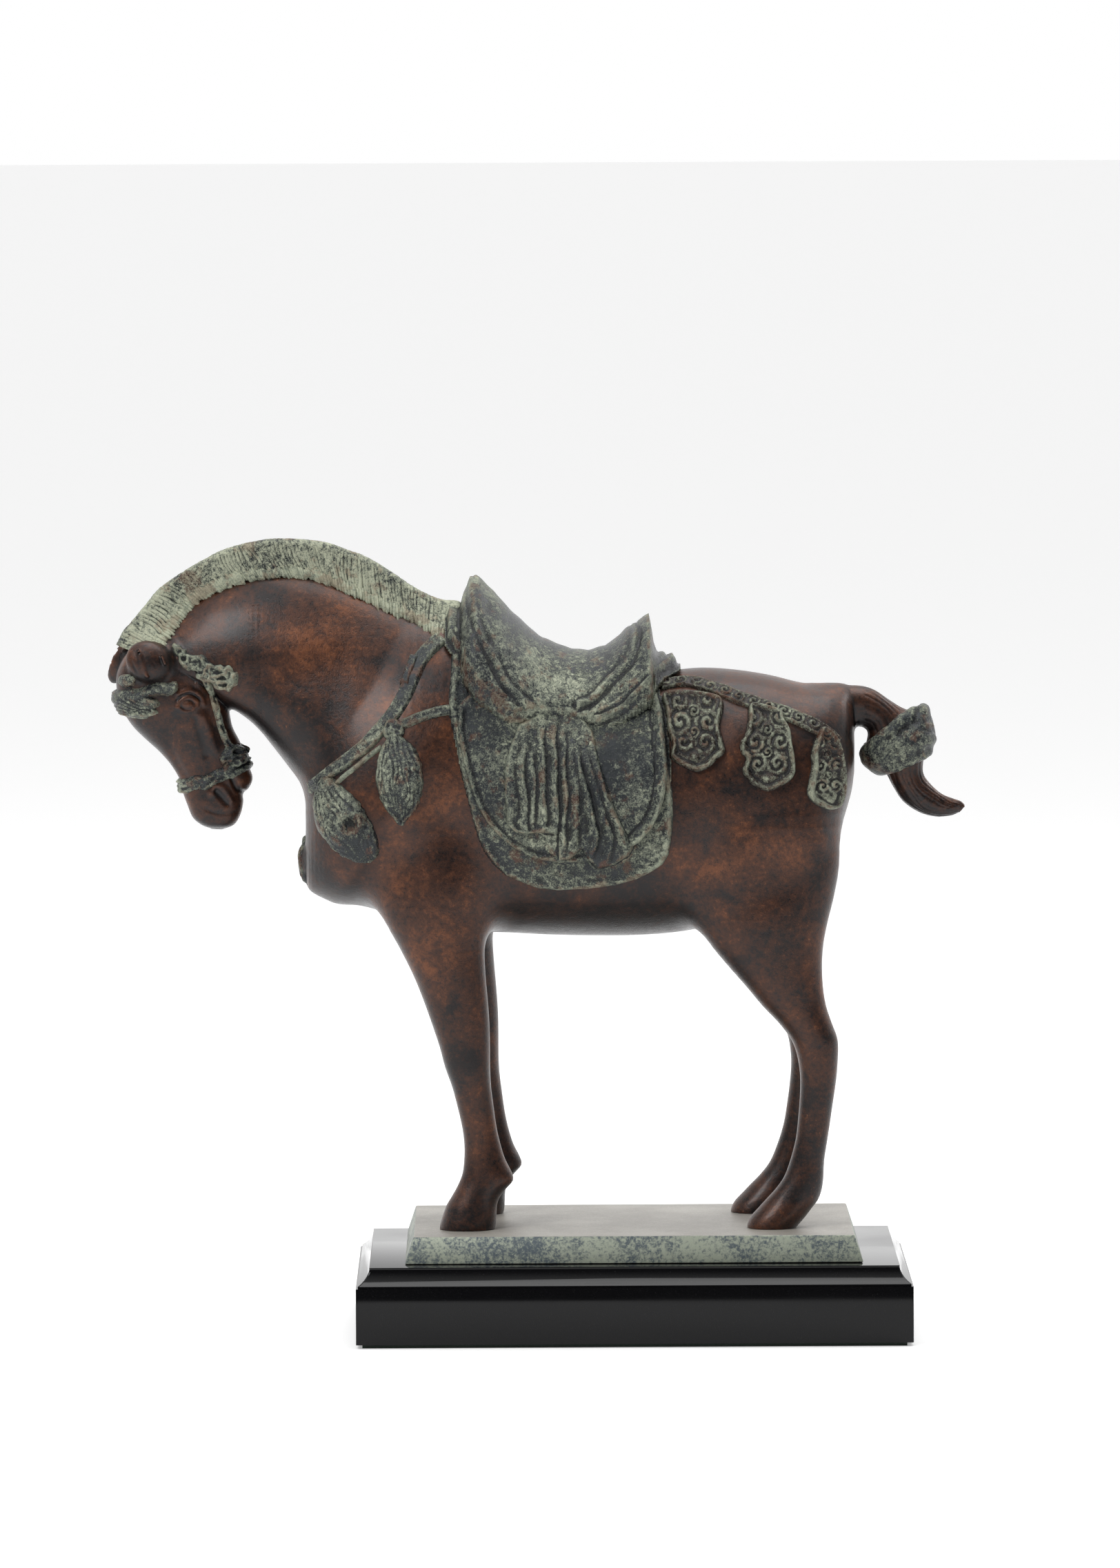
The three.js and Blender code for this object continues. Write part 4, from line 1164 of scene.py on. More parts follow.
def tie_field(p):
    """Cords wound round the tail where it is tied up."""
    rows = between(TAIL, 61)
    best = np.full(len(p), 20.0)
    for place, lean, thick in ((23.5, 0.8, 3.2), (27, -0.4, 4.3), (30.4, 0.6, 4.3), (33.6, -0.3, 3.0)):
        turn = np.linspace(0, 2 * np.pi, 33)
        at = np.clip(place + lean * np.cos(turn), 0, 60)
        i = at.astype(int)
        row = rows[i] + (rows[np.minimum(i + 1, 60)] - rows[i]) * (at - i)[:, None]
        middle, reach = (row[:, 0:2] + row[:, 2:4]) / 2, (row[:, 0:2] - row[:, 2:4]) / 2
        ring = middle + reach * np.sin(turn)[:, None]
        loop = np.stack([ring[:, 0], row[:, 4] * np.cos(turn), ring[:, 1]], 1)
        best = blend(best, strip_distance(p, loop) - thick, 3.2)
    best = blend(best, egg(p, (139, 0, 239), (5, 9, 9), 0.2), 2)
    return best - 0.4 * waver(p[:, 0] / 1.4, p[:, 2] / 1.4 + p[:, 1] / 2, 71)


# ------------------------------------------------------------------ operators


def skin_grid():
    """The flesh on a grid, made once, for all that is laid on it."""
    if "grid" not in SHARED:
        SHARED["grid"] = Grid(flesh, (-262, -66, -8), (170, 66, 304), 2.0)
    return SHARED["grid"]


EVERYWHERE = 999
NECK_CUT = ((-84, 0, 290), (0.85, 0, -0.527), EVERYWHERE)
POLL_CUT = ((-226, 0, 292), (-0.819, 0, -0.573), -183)
HOCK_CUT = ((0, 0, 136), (0, 0, 1), EVERYWHERE)
DOCK_CUT = ((112, 0, 240), (1, 0, 0), EVERYWHERE)
SOLE_CUT = ((0, 0, 0), (0, 0, -1), EVERYWHERE)


def away(plane):
    """The same plane, turned to keep its other side."""
    point, direction, limit = plane
    return point, tuple(-x for x in direction), limit


# The low and high corners, in x and y, of the box that each leg is carved from.
LEG_BOXES = [
    ("foreleg_near", (-122, -52), (-52, -12)),
    ("foreleg_far", (-122, 12), (-50, 52)),
    ("hind_leg_near", (24, -52), (104, -12)),
    ("hind_leg_far", (20, 12), (104, 52)),
]


class STATUE_OT_castings(bpy.types.Operator):
    """Sculpts the horse's castings: torso, neck, head, legs and tail"""

    bl_idname = "statue.castings"
    bl_label = "Horse castings"

    def execute(self, context):
        step = context.scene.statue.sculpt_step / MM
        skin = brown_bronze()
        carve("torso_casting", flesh, (-160, -62, 130), (120, 62, 294), step,
              [away(NECK_CUT), away(HOCK_CUT), DOCK_CUT], skin)
        carve("neck_casting", flesh, (-238, -50, 148), (-74, 50, 318), step * 0.9, [NECK_CUT, POLL_CUT], skin)
        carve("head_casting", face, (-254, -26, 184), (-176, 26, 296), step * 0.5, [away(POLL_CUT)], skin)
        for name, low, high in LEG_BOXES:
            carve(name, flesh, (*low, -4), (*high, 142), step * 0.8, [HOCK_CUT, SOLE_CUT], skin)
        carve("tail_casting", tail_hair, (108, -16, 186), (166, 16, 264), step * 0.5, [away(DOCK_CUT)], skin)
        points, quads = skin_of(tie_field, (104, -18, 206), (152, 18, 254), 0.8)
        trapping("tail_tie", settle(tie_field, points, 1), quads, green_bronze())
        return {"FINISHED"}


def flat(p):
    """The x and z of a grid of points, as rows."""
    return p[..., [0, 2]].reshape(-1, 2)


def cloth_piece(material):
    """The saddle cloth, which hangs down both sides in one sheet."""
    skin = skin_grid()
    base, normal = wrap_patch(skin, (-92, 28), (-1.05, math.pi + 1.05), 1.0)
    q = flat(base)
    d = from_outline(q, np.array(CLOTH))
    high = rim(d, 2.7) + ridge(d + 2.2, 1.1, 0.7) * (d < 0.5)
    high += np.where(d < -1, 0.4 * waver(q[:, 0] / 2, q[:, 1] / 2, 3), 0)
    high = high.reshape(base.shape[:2])
    points, quads = shell(base, normal, high, d.reshape(high.shape) < 2.2)
    trapping("saddle_cloth", points, quads, material)


def skirt_piece(side, label, material):
    """The skirt over the cloth, with a rim and a band along its rear edge."""
    skin = skin_grid()
    turns = (-0.7, 1.15) if side < 0 else (math.pi - 1.15, math.pi + 0.7)
    base, normal = wrap_patch(skin, (-86, 20), turns, 0.8)
    q = flat(base)
    d = from_outline(q, np.array(SKIRT))
    edge = ridge(d + 1.5, 1.0, 1.5) * (d < 1)
    band = np.where((q[:, 0] > -6) & (d > -6.5) & (d < -4.2), -0.7, 0) + np.where(
        (q[:, 0] > -6) & (d <= -1.5) & (d > -5.5), 0.6, 0)
    high = SKIRT_LIFT + rim(d, 2.3, 1.0, 1.4) + edge * (q[:, 1] < 248) + band * (d < 0)
    high += np.where(d < -2, 0.35 * waver(q[:, 0] / 2.6, q[:, 1] / 3.4, 5), 0)
    high = high.reshape(base.shape[:2])
    points, quads = shell(base, normal, high, d.reshape(high.shape) < 1.2, under=0)
    trapping(f"saddle_skirt_{label}", points, quads, material)


def drape_piece(side, label, material):
    """The drape over the skirt, in pleats that fan out towards its hem."""
    skin = skin_grid()
    turns = (-0.72, 1.0) if side < 0 else (math.pi - 1.0, math.pi + 0.72)
    base, normal = wrap_patch(skin, (-64, 5), turns, 0.6)
    q = flat(base)
    d = from_outline(q, np.array(DRAPE))
    high = DRAPE_LIFT + rim(d, 2.4, 1.3, 1.4)
    pleats = np.zeros(len(q))
    for line, before, after, lift in FOLDS:
        course = curve(np.array(line, float), 24)[::-1]
        s = q[:, 0] - np.interp(q[:, 1], course[:, 1], course[:, 0])
        s = s + 0.5 * np.sin(q[:, 1] / 3.7 + line[0][0])
        ends = np.clip((q[:, 1] - line[-1][1] + 3) / 6, 0, 1) * np.clip((line[0][1] + 4 - q[:, 1]) / 14, 0, 1)
        pleats = np.maximum(pleats, lift * ends * np.exp(-((s / np.where(s < 0, before, after)) ** 2)))
    high += pleats * (d < 0) * np.clip(-d / 1.0, 0, 1)
    lip, _ = from_line(q, curve(np.array(DRAPE_RIM, float), 30))
    high += ridge(lip, 1.2, 1.2) * (d < 0.5)
    below = (q[:, 1] < 191.4) & (q[:, 0] < -34) & (q[:, 0] > -59)
    high = np.where(below & (d < 0), high - 1.6, high)
    high += np.where(d < -1, 0.45 * waver(q[:, 0] / 1.2, q[:, 1] / 2.6, 8), 0)
    high = high.reshape(base.shape[:2])
    points, quads = shell(base, normal, high, d.reshape(high.shape) < 1.0, under=0)
    trapping(f"saddle_drape_{label}", points, quads, material)


def seat_piece(material):
    """The saddle: boards front and rear, and a hammock seat that rises to a peak at each end."""
    skin = skin_grid()
    base, normal = wrap_patch(skin, (-90, 26), (0.15, math.pi - 0.15), 0.75)
    shape = base.shape[:2]
    hub = np.array([0, 0, HUB])
    arm = base - hub
    arm[..., 0] = 0
    radius = np.linalg.norm(arm, axis=-1)
    out = arm / radius[..., None]
    x = base[..., 0]
    top = np.array(SEAT_TOP, float)
    peak = np.interp(x, top[:, 0], top[:, 1])
    crown = radius[:, shape[1] // 2][:, None]
    upright = np.clip(out[..., 2], 0, 1)
    hump = np.maximum(peak - HUB - crown - SEAT_LIFT, 0) * np.clip((upright - 0.35) / 0.65, 0, 1) ** 1.6
    reach = radius + SEAT_LIFT + hump
    points = hub + out * reach[..., None]
    points[..., 0] = x
    q = flat(points)
    d = from_outline(q, np.array(SEAT, float)).reshape(shape)
    extra = rim(d, 2.2, 1.2, 2.4)
    line = lambda rows: from_line(q, curve(np.array(rows, float), 40))[0].reshape(shape)
    front, rear = line(FRONT_EDGE), line(REAR_EDGE)
    between_edges = from_outline(q, np.array(FRONT_EDGE + REAR_EDGE[::-1] + [(3, 320), (-76.5, 320)], float))
    seat = between_edges.reshape(shape)
    extra += 1.5 * np.clip(-seat / 1.6, 0, 1) * (d < 0)
    extra += (ridge(front, 1.0, 1.6) + ridge(rear, 0.9, 1.5)) * (d < 0)
    extra -= (ridge(front - 2.4, 0.9, 0.9) + ridge(rear - 2.2, 0.9, 0.9)) * (d < 0)
    for rows in (FRONT_BOARD, REAR_BOARD):
        away_from = line(rows)
        extra += (ridge(away_from, 0.9, 1.3) + ridge(away_from - 2.8, 0.8, 0.9)) * (d < 0)
        extra -= ridge(away_from - 1.5, 0.6, 0.7) * (d < 0)
    extra += np.where(d < -1, 0.5 * waver(q[:, 0] / 2.4, q[:, 1] / 2.4, 12).reshape(shape), 0)
    bottom = (radius + SEAT_FOOT)[..., None]
    low = hub + out * bottom
    low[..., 0] = x
    points = points + out * extra[..., None]
    trapping("saddle_seat", *sandwich(points, low, d < 1.4, out), material)


def sandwich(top, low, keep, out):
    """A closed skin between two grids of points."""
    height = np.linalg.norm(top - low, axis=-1)
    return shell(low, out, height * np.sign(((top - low) * out).sum(axis=-1)), keep, under=0.4)


class STATUE_OT_saddle(bpy.types.Operator):
    """Lays the cloth, the skirts, the folded drapes and the seat on the horse's back"""

    bl_idname = "statue.saddle"
    bl_label = "Saddle"

    def execute(self, context):
        material = green_bronze()
        cloth_piece(material)
        for side, label in SIDES:
            skirt_piece(side, label, material)
            drape_piece(side, label, material)
        seat_piece(material)
        return {"FINISHED"}


def frayed(s, t, half):
    """Uneven strands along a strap."""
    return 0.8 * waver(s / 1.6, t / 0.9, 31) + 0.4 * waver(s / 0.8, t / 0.6, 32)


def worn_strap(s, t, half):
    """Faint raised edges, worn away in places."""
    return 0.5 * ridge(np.abs(t) - half + 0.9, 0.6, 0.9) + 0.45 * waver(s / 2, t / 1.2, 33)


def harness_piece(name, parts, material):
    """Several straps or ornaments as one trapping."""
    trapping(name, *together(parts), material)


def hanging(outline, side, high, relief, fray=0.0):
    """A pendant or tassel: an outline on the skin, frayed or clean, raised, with its own relief."""
    skin = skin_grid()
    ring = smooth_ring(outline)
    low, top = ring.min(axis=0) - 2.5, ring.max(axis=0) + 2.5
    base, normal = side_patch(skin, (low[0], top[0]), (low[1], top[1]), side, HANGING_STEP)
    q = flat(base)
    d = from_outline(q, ring) + fray * waver(q[:, 0] / 0.9, q[:, 1] / 0.9, 46)
    raised = rim(d, high, 1.6) + np.where(d < 0, relief(q, d), 0)
    raised = raised.reshape(base.shape[:2])
    return shell(base, normal, raised, d.reshape(raised.shape) < 1.6)


def tassel_relief(top, bottom, ball=0.45, swell=5.0, boss=None):
    """Hair that parts at a head and swells in a ball, then ends in a hollow or curls round a boss."""
    top, bottom = np.array(top, float), np.array(bottom, float)
    length = np.linalg.norm(bottom - top)
    axis = (bottom - top) / length

    def relief(q, d):
        along = (q - top) @ axis / length
        across = (q - top) @ np.array([-axis[1], axis[0]])
        spread = 1 + 1.3 * np.exp(-(((along - ball) / 0.3) ** 2))
        bent = across / spread / 1.15 + 0.9 * waver(across / 1.4, along * length / 5, 41)
        strands = 0.75 * lock(bent) * (0.7 + 0.3 * waver(across, along * length / 2, 42))
        body = swell * np.sin(1.57 * np.clip(-d / 8, 0, 1)) * np.exp(-(((along - ball) / 0.3) ** 2))
        knob = ridge(np.hypot((along - 0.1) * length, across), 3.2, swell * 0.3)
        if boss is None:
            hollow = -2.0 * np.clip(-d / 2, 0, 1) * np.clip((along - 0.74) / 0.1, 0, 1)
            return strands + body + knob + hollow
        from_boss = np.hypot(*(q - np.array(boss)).T)
        curl = ridge(from_boss - 4.4, 1.8, 1.5) - 2.2 * np.exp(-((from_boss / 2.6) ** 2))
        return strands + 0.7 * body + knob + curl
    return relief


# Each curl on a pendant: its place and radius as shares of the pendant's size, and which way it turns.
CURLS = [
    (-0.24, 0.32, 0.15, 1), (0.24, 0.32, 0.15, -1), (-0.22, 0.07, 0.16, -1), (0.23, 0.07, 0.16, 1),
    (-0.17, -0.18, 0.15, 1), (0.18, -0.18, 0.15, -1), (0, 0.2, 0.08, 1), (0, -0.05, 0.08, -1),
]


def scroll_relief(outline):
    """A raised rim round a field of curling scrolls."""
    ring = smooth_ring(outline)
    middle, size = ring.mean(axis=0), ring.max(axis=0) - ring.min(axis=0)

    def relief(q, d):
        frame_rim = ridge(d + 1.4, 0.9, 1.3)
        own = (q - middle) / size
        curls = np.zeros(len(q))
        for across, rise, radius, hand in CURLS:
            u, v = (own[:, 0] - across) * size[0], (own[:, 1] - rise) * size[1]
            r, turn = np.hypot(u, v), np.arctan2(v, u)
            wide = radius * size.min()
            coil = np.cos(2 * np.pi * r / wide * 1.1 - hand * turn)
            curls = np.maximum(curls, (0.5 + 0.5 * coil) * np.exp(-((r / wide / 1.15) ** 4)))
        rosette = np.hypot(own[:, 0] * size[0], (own[:, 1] + 0.36) * size[1])
        curls = np.maximum(curls, ridge(rosette, 2.0, 1.0))
        inner = np.clip(-(d + 2.6) / 0.8, 0, 1)
        lumps = 0.5 * waver(q[:, 0] / 0.9, q[:, 1] / 0.9, 45)
        return frame_rim - 0.9 * inner + (1.7 * curls + lumps) * inner
    return relief


def scrolls_along(s, t, half):
    """A running scroll between two plain edges."""
    cell = s / SCROLL_PITCH - np.floor(s / SCROLL_PITCH) - 0.5
    u, v = cell * SCROLL_PITCH, t * np.where(np.floor(s / SCROLL_PITCH) % 2 == 0, 1, -1)
    r, turn = np.hypot(u, v - 0.4), np.arctan2(v - 0.4, u)
    coil = (0.5 + 0.5 * np.cos(2 * np.pi * r / 2.7 - turn)) * np.exp(-((r / 3.4) ** 4))
    return 1.3 * coil - 0.5 + ridge(np.abs(t) - half + 0.7, 0.5, 0.8)


# Each tassel: its name, outline, where its hair starts and ends, and its boss where it has one.
TASSELS = [
    ("shoulder", SHOULDER_TASSEL, (-112, 241), (-109, 192), None),
    ("chest", CHEST_TASSEL, (-146, 216), (-125, 177), (-132.6, 196)),
]


class STATUE_OT_harness(bpy.types.Operator):
    """Straps the breast collar, its tassels, the crupper and its pendants on the horse"""

    bl_idname = "statue.harness"
    bl_label = "Harness"

    def execute(self, context):
        skin, material = skin_grid(), green_bronze()
        scrolled = green_bronze("verdigris on brown", (0.03, 0.019, 0.014))
        taper = lambda along: 8.6 - 2.2 * along
        for side, label in SIDES:
            straps = [ribbon(skin, COLLAR, side, taper, 0.6, strap_rise(2.2, worn_strap, 1.6)),
                      ribbon(skin, LOWER_STRAP, side, 2.6, 0.6, strap_rise(1.2, worn_strap, 1.0)),
                      ribbon(skin, SIDE_STRAP, side, 5.2, 0.6, strap_rise(1.7, worn_strap, 1.4)),
                      ribbon(skin, STRAP_END, side, 5.4, 0.6, strap_rise(3.0, worn_strap, 1.6))]
            straps.append(hanging(KNOT, side, 3.2, knot_relief))
            harness_piece(f"breast_collar_{label}", straps, material)
            for name, outline, top, bottom, boss in TASSELS:
                parts = [hanging(outline, side, 2.2, tassel_relief(top, bottom, boss=boss), 0.45)]
                harness_piece(f"{name}_tassel_{label}", parts, material)
            crupper = ribbon(skin, CRUPPER, side, 8.0, 0.5, strap_rise(2.0, scrolls_along, 1.4))
            harness_piece(f"crupper_{label}", [crupper], scrolled)
            for i, outline in enumerate(PENDANTS):
                harness_piece(f"crupper_pendant_{label}_{i + 1}",
                              [hanging(outline, side, 2.6, scroll_relief(outline))], scrolled)
        front_tassel_piece(material)
        return {"FINISHED"}


MANE_TOP = [
    (-246, 278), (-243, 284), (-239, 288.6), (-232, 297), (-225, 305), (-215, 312), (-205, 318),
    (-195, 323), (-185, 326), (-175, 328), (-165, 328.5), (-155, 328), (-145, 326.5), (-135, 323),
    (-125, 319), (-115, 313), (-105, 306), (-97, 301.5), (-90, 299), (-83, 298.4), (-80.5, 297),
]
MANE_FOOT = [
    (-232, 273), (-229, 277), (-225, 279), (-222, 281), (-218, 287), (-212, 294), (-205, 301), (-195, 306),
    (-185, 309), (-170, 311), (-155, 310.5), (-145, 307.5), (-130, 301), (-115, 294), (-105, 290),
    (-97, 286), (-92, 283), (-86, 281), (-82, 281),
]


def mane_locks(roots, ways, material):
    """The locks that hang over the mane's lower edge, grown by nodes on a guide of their roots."""
    look = bpy.context.scene.statue
    guide = bare_mesh("mane guide", roots, np.zeros((0, 4), int))
    way = guide.attributes.new("way", "FLOAT_VECTOR", "POINT")
    way.data.foreach_set("vector", ways.astype(np.float32).ravel())
    g = Growth("mane locks", Length="Float", Thickness="Float", Seed="Int")
    turn = g.node("FunctionNodeAlignRotationToVector", {"axis": "Z"}, vector=g.carried("way"))
    size = g.random(0.6, 1.25, g.given("Seed"))
    slim = g.node("CombineXYZ", x=g.given("Thickness") * g.random(0.7, 1.2, g.given("Seed") + 1),
                  y=g.given("Thickness"), z=g.given("Length") * size)
    ball = g.node("GeometryNodeMeshIcoSphere", output="Mesh", radius=1.0, subdivisions=2)
    placed = g.node("GeometryNodeInstanceOnPoints", points=g.given("Guide"), instance=ball,
                    rotation=turn, scale=slim)
    mesh = g.grown(placed, guide, Length=look.lock_length / 2, Thickness=look.lock_thickness / 2, Seed=5,
                   Material=material)
    for polygon in mesh.polygons:
        polygon.use_smooth = True
    return mesh


def mane_piece(material):
    """The roached mane: a fin along the crest, its hair combed across it."""
    skin = skin_grid()
    rows = 430
    top, foot = curve(np.array(MANE_TOP, float), rows), curve(np.array(MANE_FOOT, float), rows)
    length = np.linalg.norm(np.diff(top, axis=0), axis=1).sum()
    s = np.linspace(0, length, rows)
    ragged = 1.1 * lock(s / 5.3 + 0.3 * np.sin(s / 7)) - 0.5
    down = (foot - top) / np.linalg.norm(foot - top, axis=1, keepdims=True)
    foot = foot + down * ragged[:, None]
    start = np.stack([foot[:, 0], np.full(rows, -50.0), foot[:, 1]], 1)
    rest = land(skin, start, np.array([0.0, 1.0, 0.0]), 49.5, 60)
    wide = np.clip(-rest[:, 1], 3.5, 16)
    t = np.linspace(-1, 1, 61)
    across = np.abs(t)
    share = across[None, :, None] ** 1.25
    line = top[:, None, :] * (1 - share) + foot[:, None, :] * share
    half = 3.2 + (wide[:, None] + 0.4 - 3.2) * across[None, :] ** 1.5
    y = np.sign(t)[None, :] * half * np.minimum(1, (across[None, :] / 0.18)) ** 0.5
    points = np.stack([line[..., 0], y, line[..., 1]], -1)
    ahead = np.gradient(points, axis=0)
    along = np.gradient(points, axis=1)
    normal = np.cross(along, ahead)
    normal /= np.maximum(np.linalg.norm(normal, axis=-1, keepdims=True), 1e-9)
    middle = points.mean(axis=1, keepdims=True)
    if ((points - middle) * normal).sum() < 0:
        normal = -normal
    comb = s[:, None] + 2.2 * across[None, :] * np.sin(s[:, None] / 9)
    comb = comb + 1.6 * waver(s[:, None] / 3.1, 3.4 * across[None, :], 81)
    hair = 0.5 * lock(comb / 1.9) * (0.75 + 0.5 * waver(s[:, None] / 2.2, 2.2 * across[None, :], 82))
    hair = hair + 0.3 * waver(s[:, None], 4 * across[None, :], 83)
    fade = np.clip(across[None, :] / 0.12, 0, 1)
    points = points + normal * (hair * (0.35 + 0.65 * fade))[..., None]
    number = np.arange(points[..., 0].size).reshape(points.shape[:2])
    rings = np.stack([number[:-1, :-1], number[1:, :-1], number[1:, 1:], number[:-1, 1:]], -1).reshape(-1, 4)
    foot_quads = np.stack([number[:-1, 0], number[:-1, -1], number[1:, -1], number[1:, 0]], -1)
    quads = [rings, foot_quads]
    columns = number.shape[1]
    for row, flip in ((number[0], False), (number[-1], True)):
        half_way = columns // 2
        back = row[::-1]
        cap = np.stack([row[:half_way], row[1:half_way + 1], back[1:half_way + 1], back[:half_way]], 1)
        quads.append(cap[:, ::-1] if flip else cap)
    mesh = bare_mesh("mane_crest", points.reshape(-1, 3), np.vstack(quads))
    tidy_faces(mesh)
    roots, ways = [], []
    for column, inner in ((2, 12), (58, 48)):
        picked = np.linspace(4, rows - 8, 150).astype(int)
        roots.append(points[picked, column])
        ways.append(points[picked, column] - points[picked, inner])
    locks = mane_locks(np.vstack(roots), unit(np.vstack(ways)), material)
    work = bmesh.new()
    work.from_mesh(mesh)
    work.from_mesh(locks)
    work.to_mesh(mesh)
    work.free()
    finished("mane_crest", mesh, material, ["mane_crest"])


def tidy_faces(mesh):
    """Merges doubles and turns every face outwards."""
    work = bmesh.new()
    work.from_mesh(mesh)
    bmesh.ops.remove_doubles(work, verts=work.verts, dist=2e-6)
    bmesh.ops.dissolve_degenerate(work, edges=work.edges, dist=1e-7)
    bmesh.ops.recalc_face_normals(work, faces=work.faces)
    work.to_mesh(mesh)
    work.free()


def face_grid():
    """The head on a finer grid, made once, for the bridle."""
    if "face_grid" not in SHARED:
        SHARED["face_grid"] = Grid(face, (-258, -34, 180), (-172, 34, 300), 1.1)
    return SHARED["face_grid"]


NOSE_LINE = [(-226, 207.5), (-214, 210.5), (-204, 212.6), (-195, 216.4), (-184, 221.5), (-170, 227)]
CHEEK_STRAP = [
    (-205, 267), (-202.4, 261.5), (-200, 255), (-198.4, 249), (-197, 243.5), (-195.6, 238),
    (-193.6, 232.4), (-191, 227.6), (-192.6, 221), (-194.6, 216.6),
]
ROSETTE = [
    (-219, 278), (-214.6, 278.4), (-210, 274.4), (-204, 273.4), (-199, 269.6), (-193, 269.4), (-188, 266),
    (-187.2, 261), (-190.6, 257.4), (-196, 257.6), (-199.6, 260.6), (-204.6, 261.6), (-208.4, 266),
    (-213.4, 267.6), (-216, 272),
]
BIT = [
    (-196.6, 225), (-193, 229.6), (-188, 230.4), (-184.6, 227), (-184, 221.4), (-188.4, 219),
    (-192, 221.4), (-195.6, 221),
]


def noseband_piece(material):
    """The creased band round the muzzle."""
    skin = face_grid()
    turns = (-1.75, math.pi + 1.75)
    base, normal = round_patch(skin, [(195, -199), (225, -201)], (202, 231), turns, 0.55, 15)
    x, z = base[..., 0], base[..., 2]
    line = np.array(NOSE_LINE, float)
    t = z - np.interp(x, line[:, 0], line[:, 1])
    around = np.arange(x.shape[1])[None, :] * 0.55 + 0 * t
    d = np.abs(t + 0.7 * waver(around / 3, 0, 51)) - 3.7
    folds = 0.9 * waver(around / 2.4, t / 0.8, 52) + 0.5 * waver(around, t / 0.6, 53)
    high = rim(d, 2.0, 1.4) + np.where(d < 0, folds, 0)
    points, quads = shell(base, normal, high, d < 1.4)
    trapping("noseband", points, quads, material)


def browband_piece(material):
    """The rolled browband, with the forelock that hangs from under it."""
    skin = face_grid()
    base, normal = round_patch(skin, [(240, -220), (270, -228)], (238, 268), (-0.5, math.pi + 0.5), 0.55, 20)
    x, y, z = base[..., 0], base[..., 1], base[..., 2]
    back = np.maximum(x + 236, 0)
    tuft_mid = 250.4 - 0.12 * back
    tuft_half = 6.8 * np.sqrt(np.clip(1 - (back / 11.5) ** 2, 0, 1)) - 0.3
    ragged = 1.6 * waver(z / 0.9, 0, 65)
    tuft = np.maximum(np.abs(z - tuft_mid) - tuft_half + 0.6 * ragged, back - 10 + ragged)
    bent = (z + 0.5 * x) / 1.7 + 0.9 * waver(x / 3, z / 1.5, 61)
    strands = 0.6 * lock(bent) + 1.2 * waver(x / 2.4, z / 2, 62)
    hair = np.where(tuft < 0, strands * np.clip(-tuft / 1.2, 0, 1), 0)
    high = np.where(tuft < 2, rim(tuft, 2.6, 2.2) + hair, -0.9)
    run = 256.6 + 0.22 * (x + 228) + 0.8 * waver(x / 2.5, 0, 64)
    roll = np.hypot((z - run) / 3.1, np.maximum(x + 218.5, 0) / 2.6) - 1
    cord = 3.4 * np.sqrt(np.clip(1 - np.clip(roll + 1, 0, 2) ** 2, 0, 1)) + 0.7 * waver(x / 1.6, z / 1.2, 63)
    high = np.where(roll < 0, np.maximum(high, cord), high)
    patch = np.hypot((x + 240.5) / 4.2, (z - 261.4) / 3.4) - 1
    high = np.where(patch < 0, np.maximum(high, 2.4 * np.sqrt(np.clip(-patch, 0, 1))), high)
    keep = high > -SUNK
    points, quads = shell(base, normal, high, keep)
    trapping("browband", points, quads, material)


def knot_relief(q, d):
    """Knobbly leafwork."""
    creases = 1 - 2.4 * np.abs(waver(q[:, 0] / 1.9, q[:, 1] / 1.4, 21))
    lumps = waver(q[:, 0] / 0.9, q[:, 1] / 0.8, 22)
    return 1.1 * np.clip(-d / 2, 0, 1) * (0.4 + creases + 0.5 * lumps)


def cheekpiece(side, label, material):
    """The strap down one cheek, with leafwork at its top and at the bit."""
    skin = face_grid()
    parts = [ribbon(skin, CHEEK_STRAP, side, 3.8, 0.45, strap_rise(1.7, frayed, 1.1))]
    for outline in (ROSETTE, BIT):
        ring = smooth_ring(outline)
        low, top = ring.min(axis=0) - 2, ring.max(axis=0) + 2
        base, normal = side_patch(skin, (low[0], top[0]), (low[1], top[1]), side, 0.45)
        q = flat(base)
        d = from_outline(q, ring) + 1.0 * waver(q[:, 0] / 1.1, q[:, 1] / 1.1, 24)
        high = (rim(d, 2.2, 1.6) + np.where(d < 0, knot_relief(q, d), 0)).reshape(base.shape[:2])
        parts.append(shell(base, normal, high, d.reshape(high.shape) < 1.2))
    harness_piece(f"cheekpiece_{label}", parts, material)


class STATUE_OT_bridle(bpy.types.Operator):
    """Fits the noseband, the browband with the forelock, and the cheekpieces"""

    bl_idname = "statue.bridle"
    bl_label = "Bridle"

    def execute(self, context):
        material = green_bronze()
        noseband_piece(material)
        browband_piece(material)
        for side, label in SIDES:
            cheekpiece(side, label, material)
        return {"FINISHED"}


def front_tassel_piece(material):
    """The low tassel on the middle of the breast."""
    skin = skin_grid()
    y, z = np.meshgrid(np.arange(-12, 12.1, 0.55), np.arange(154, 194, 0.55), indexing="ij")
    base, normal = ray_patch(skin, -178.0, y, z, np.array([1.0, 0.0, 0.0]), 60)
    q = base[..., [1, 2]].reshape(-1, 2)
    ring = smooth_ring([(0, 186), (5, 182), (8, 175), (7.4, 167), (3.6, 159.6), (0, 156.5), (-3.6, 159.6),
                        (-7.4, 167), (-8, 175), (-5, 182)])
    d = from_outline(q, ring)
    high = rim(d, 1.1, 1.8) + np.where(d < 0, tassel_relief((0, 187), (0, 157), 0.5, 0.9)(q, d), 0)
    points, quads = shell(base, normal, high.reshape(y.shape), d.reshape(y.shape) < 1.6)
    trapping("front_tassel", points, quads, material)


class STATUE_OT_mane(bpy.types.Operator):
    """Combs the mane along the crest of the neck"""

    bl_idname = "statue.mane"
    bl_label = "Mane"

    def execute(self, context):
        mane_piece(green_bronze("pale verdigris", more=0.15))
        return {"FINISHED"}


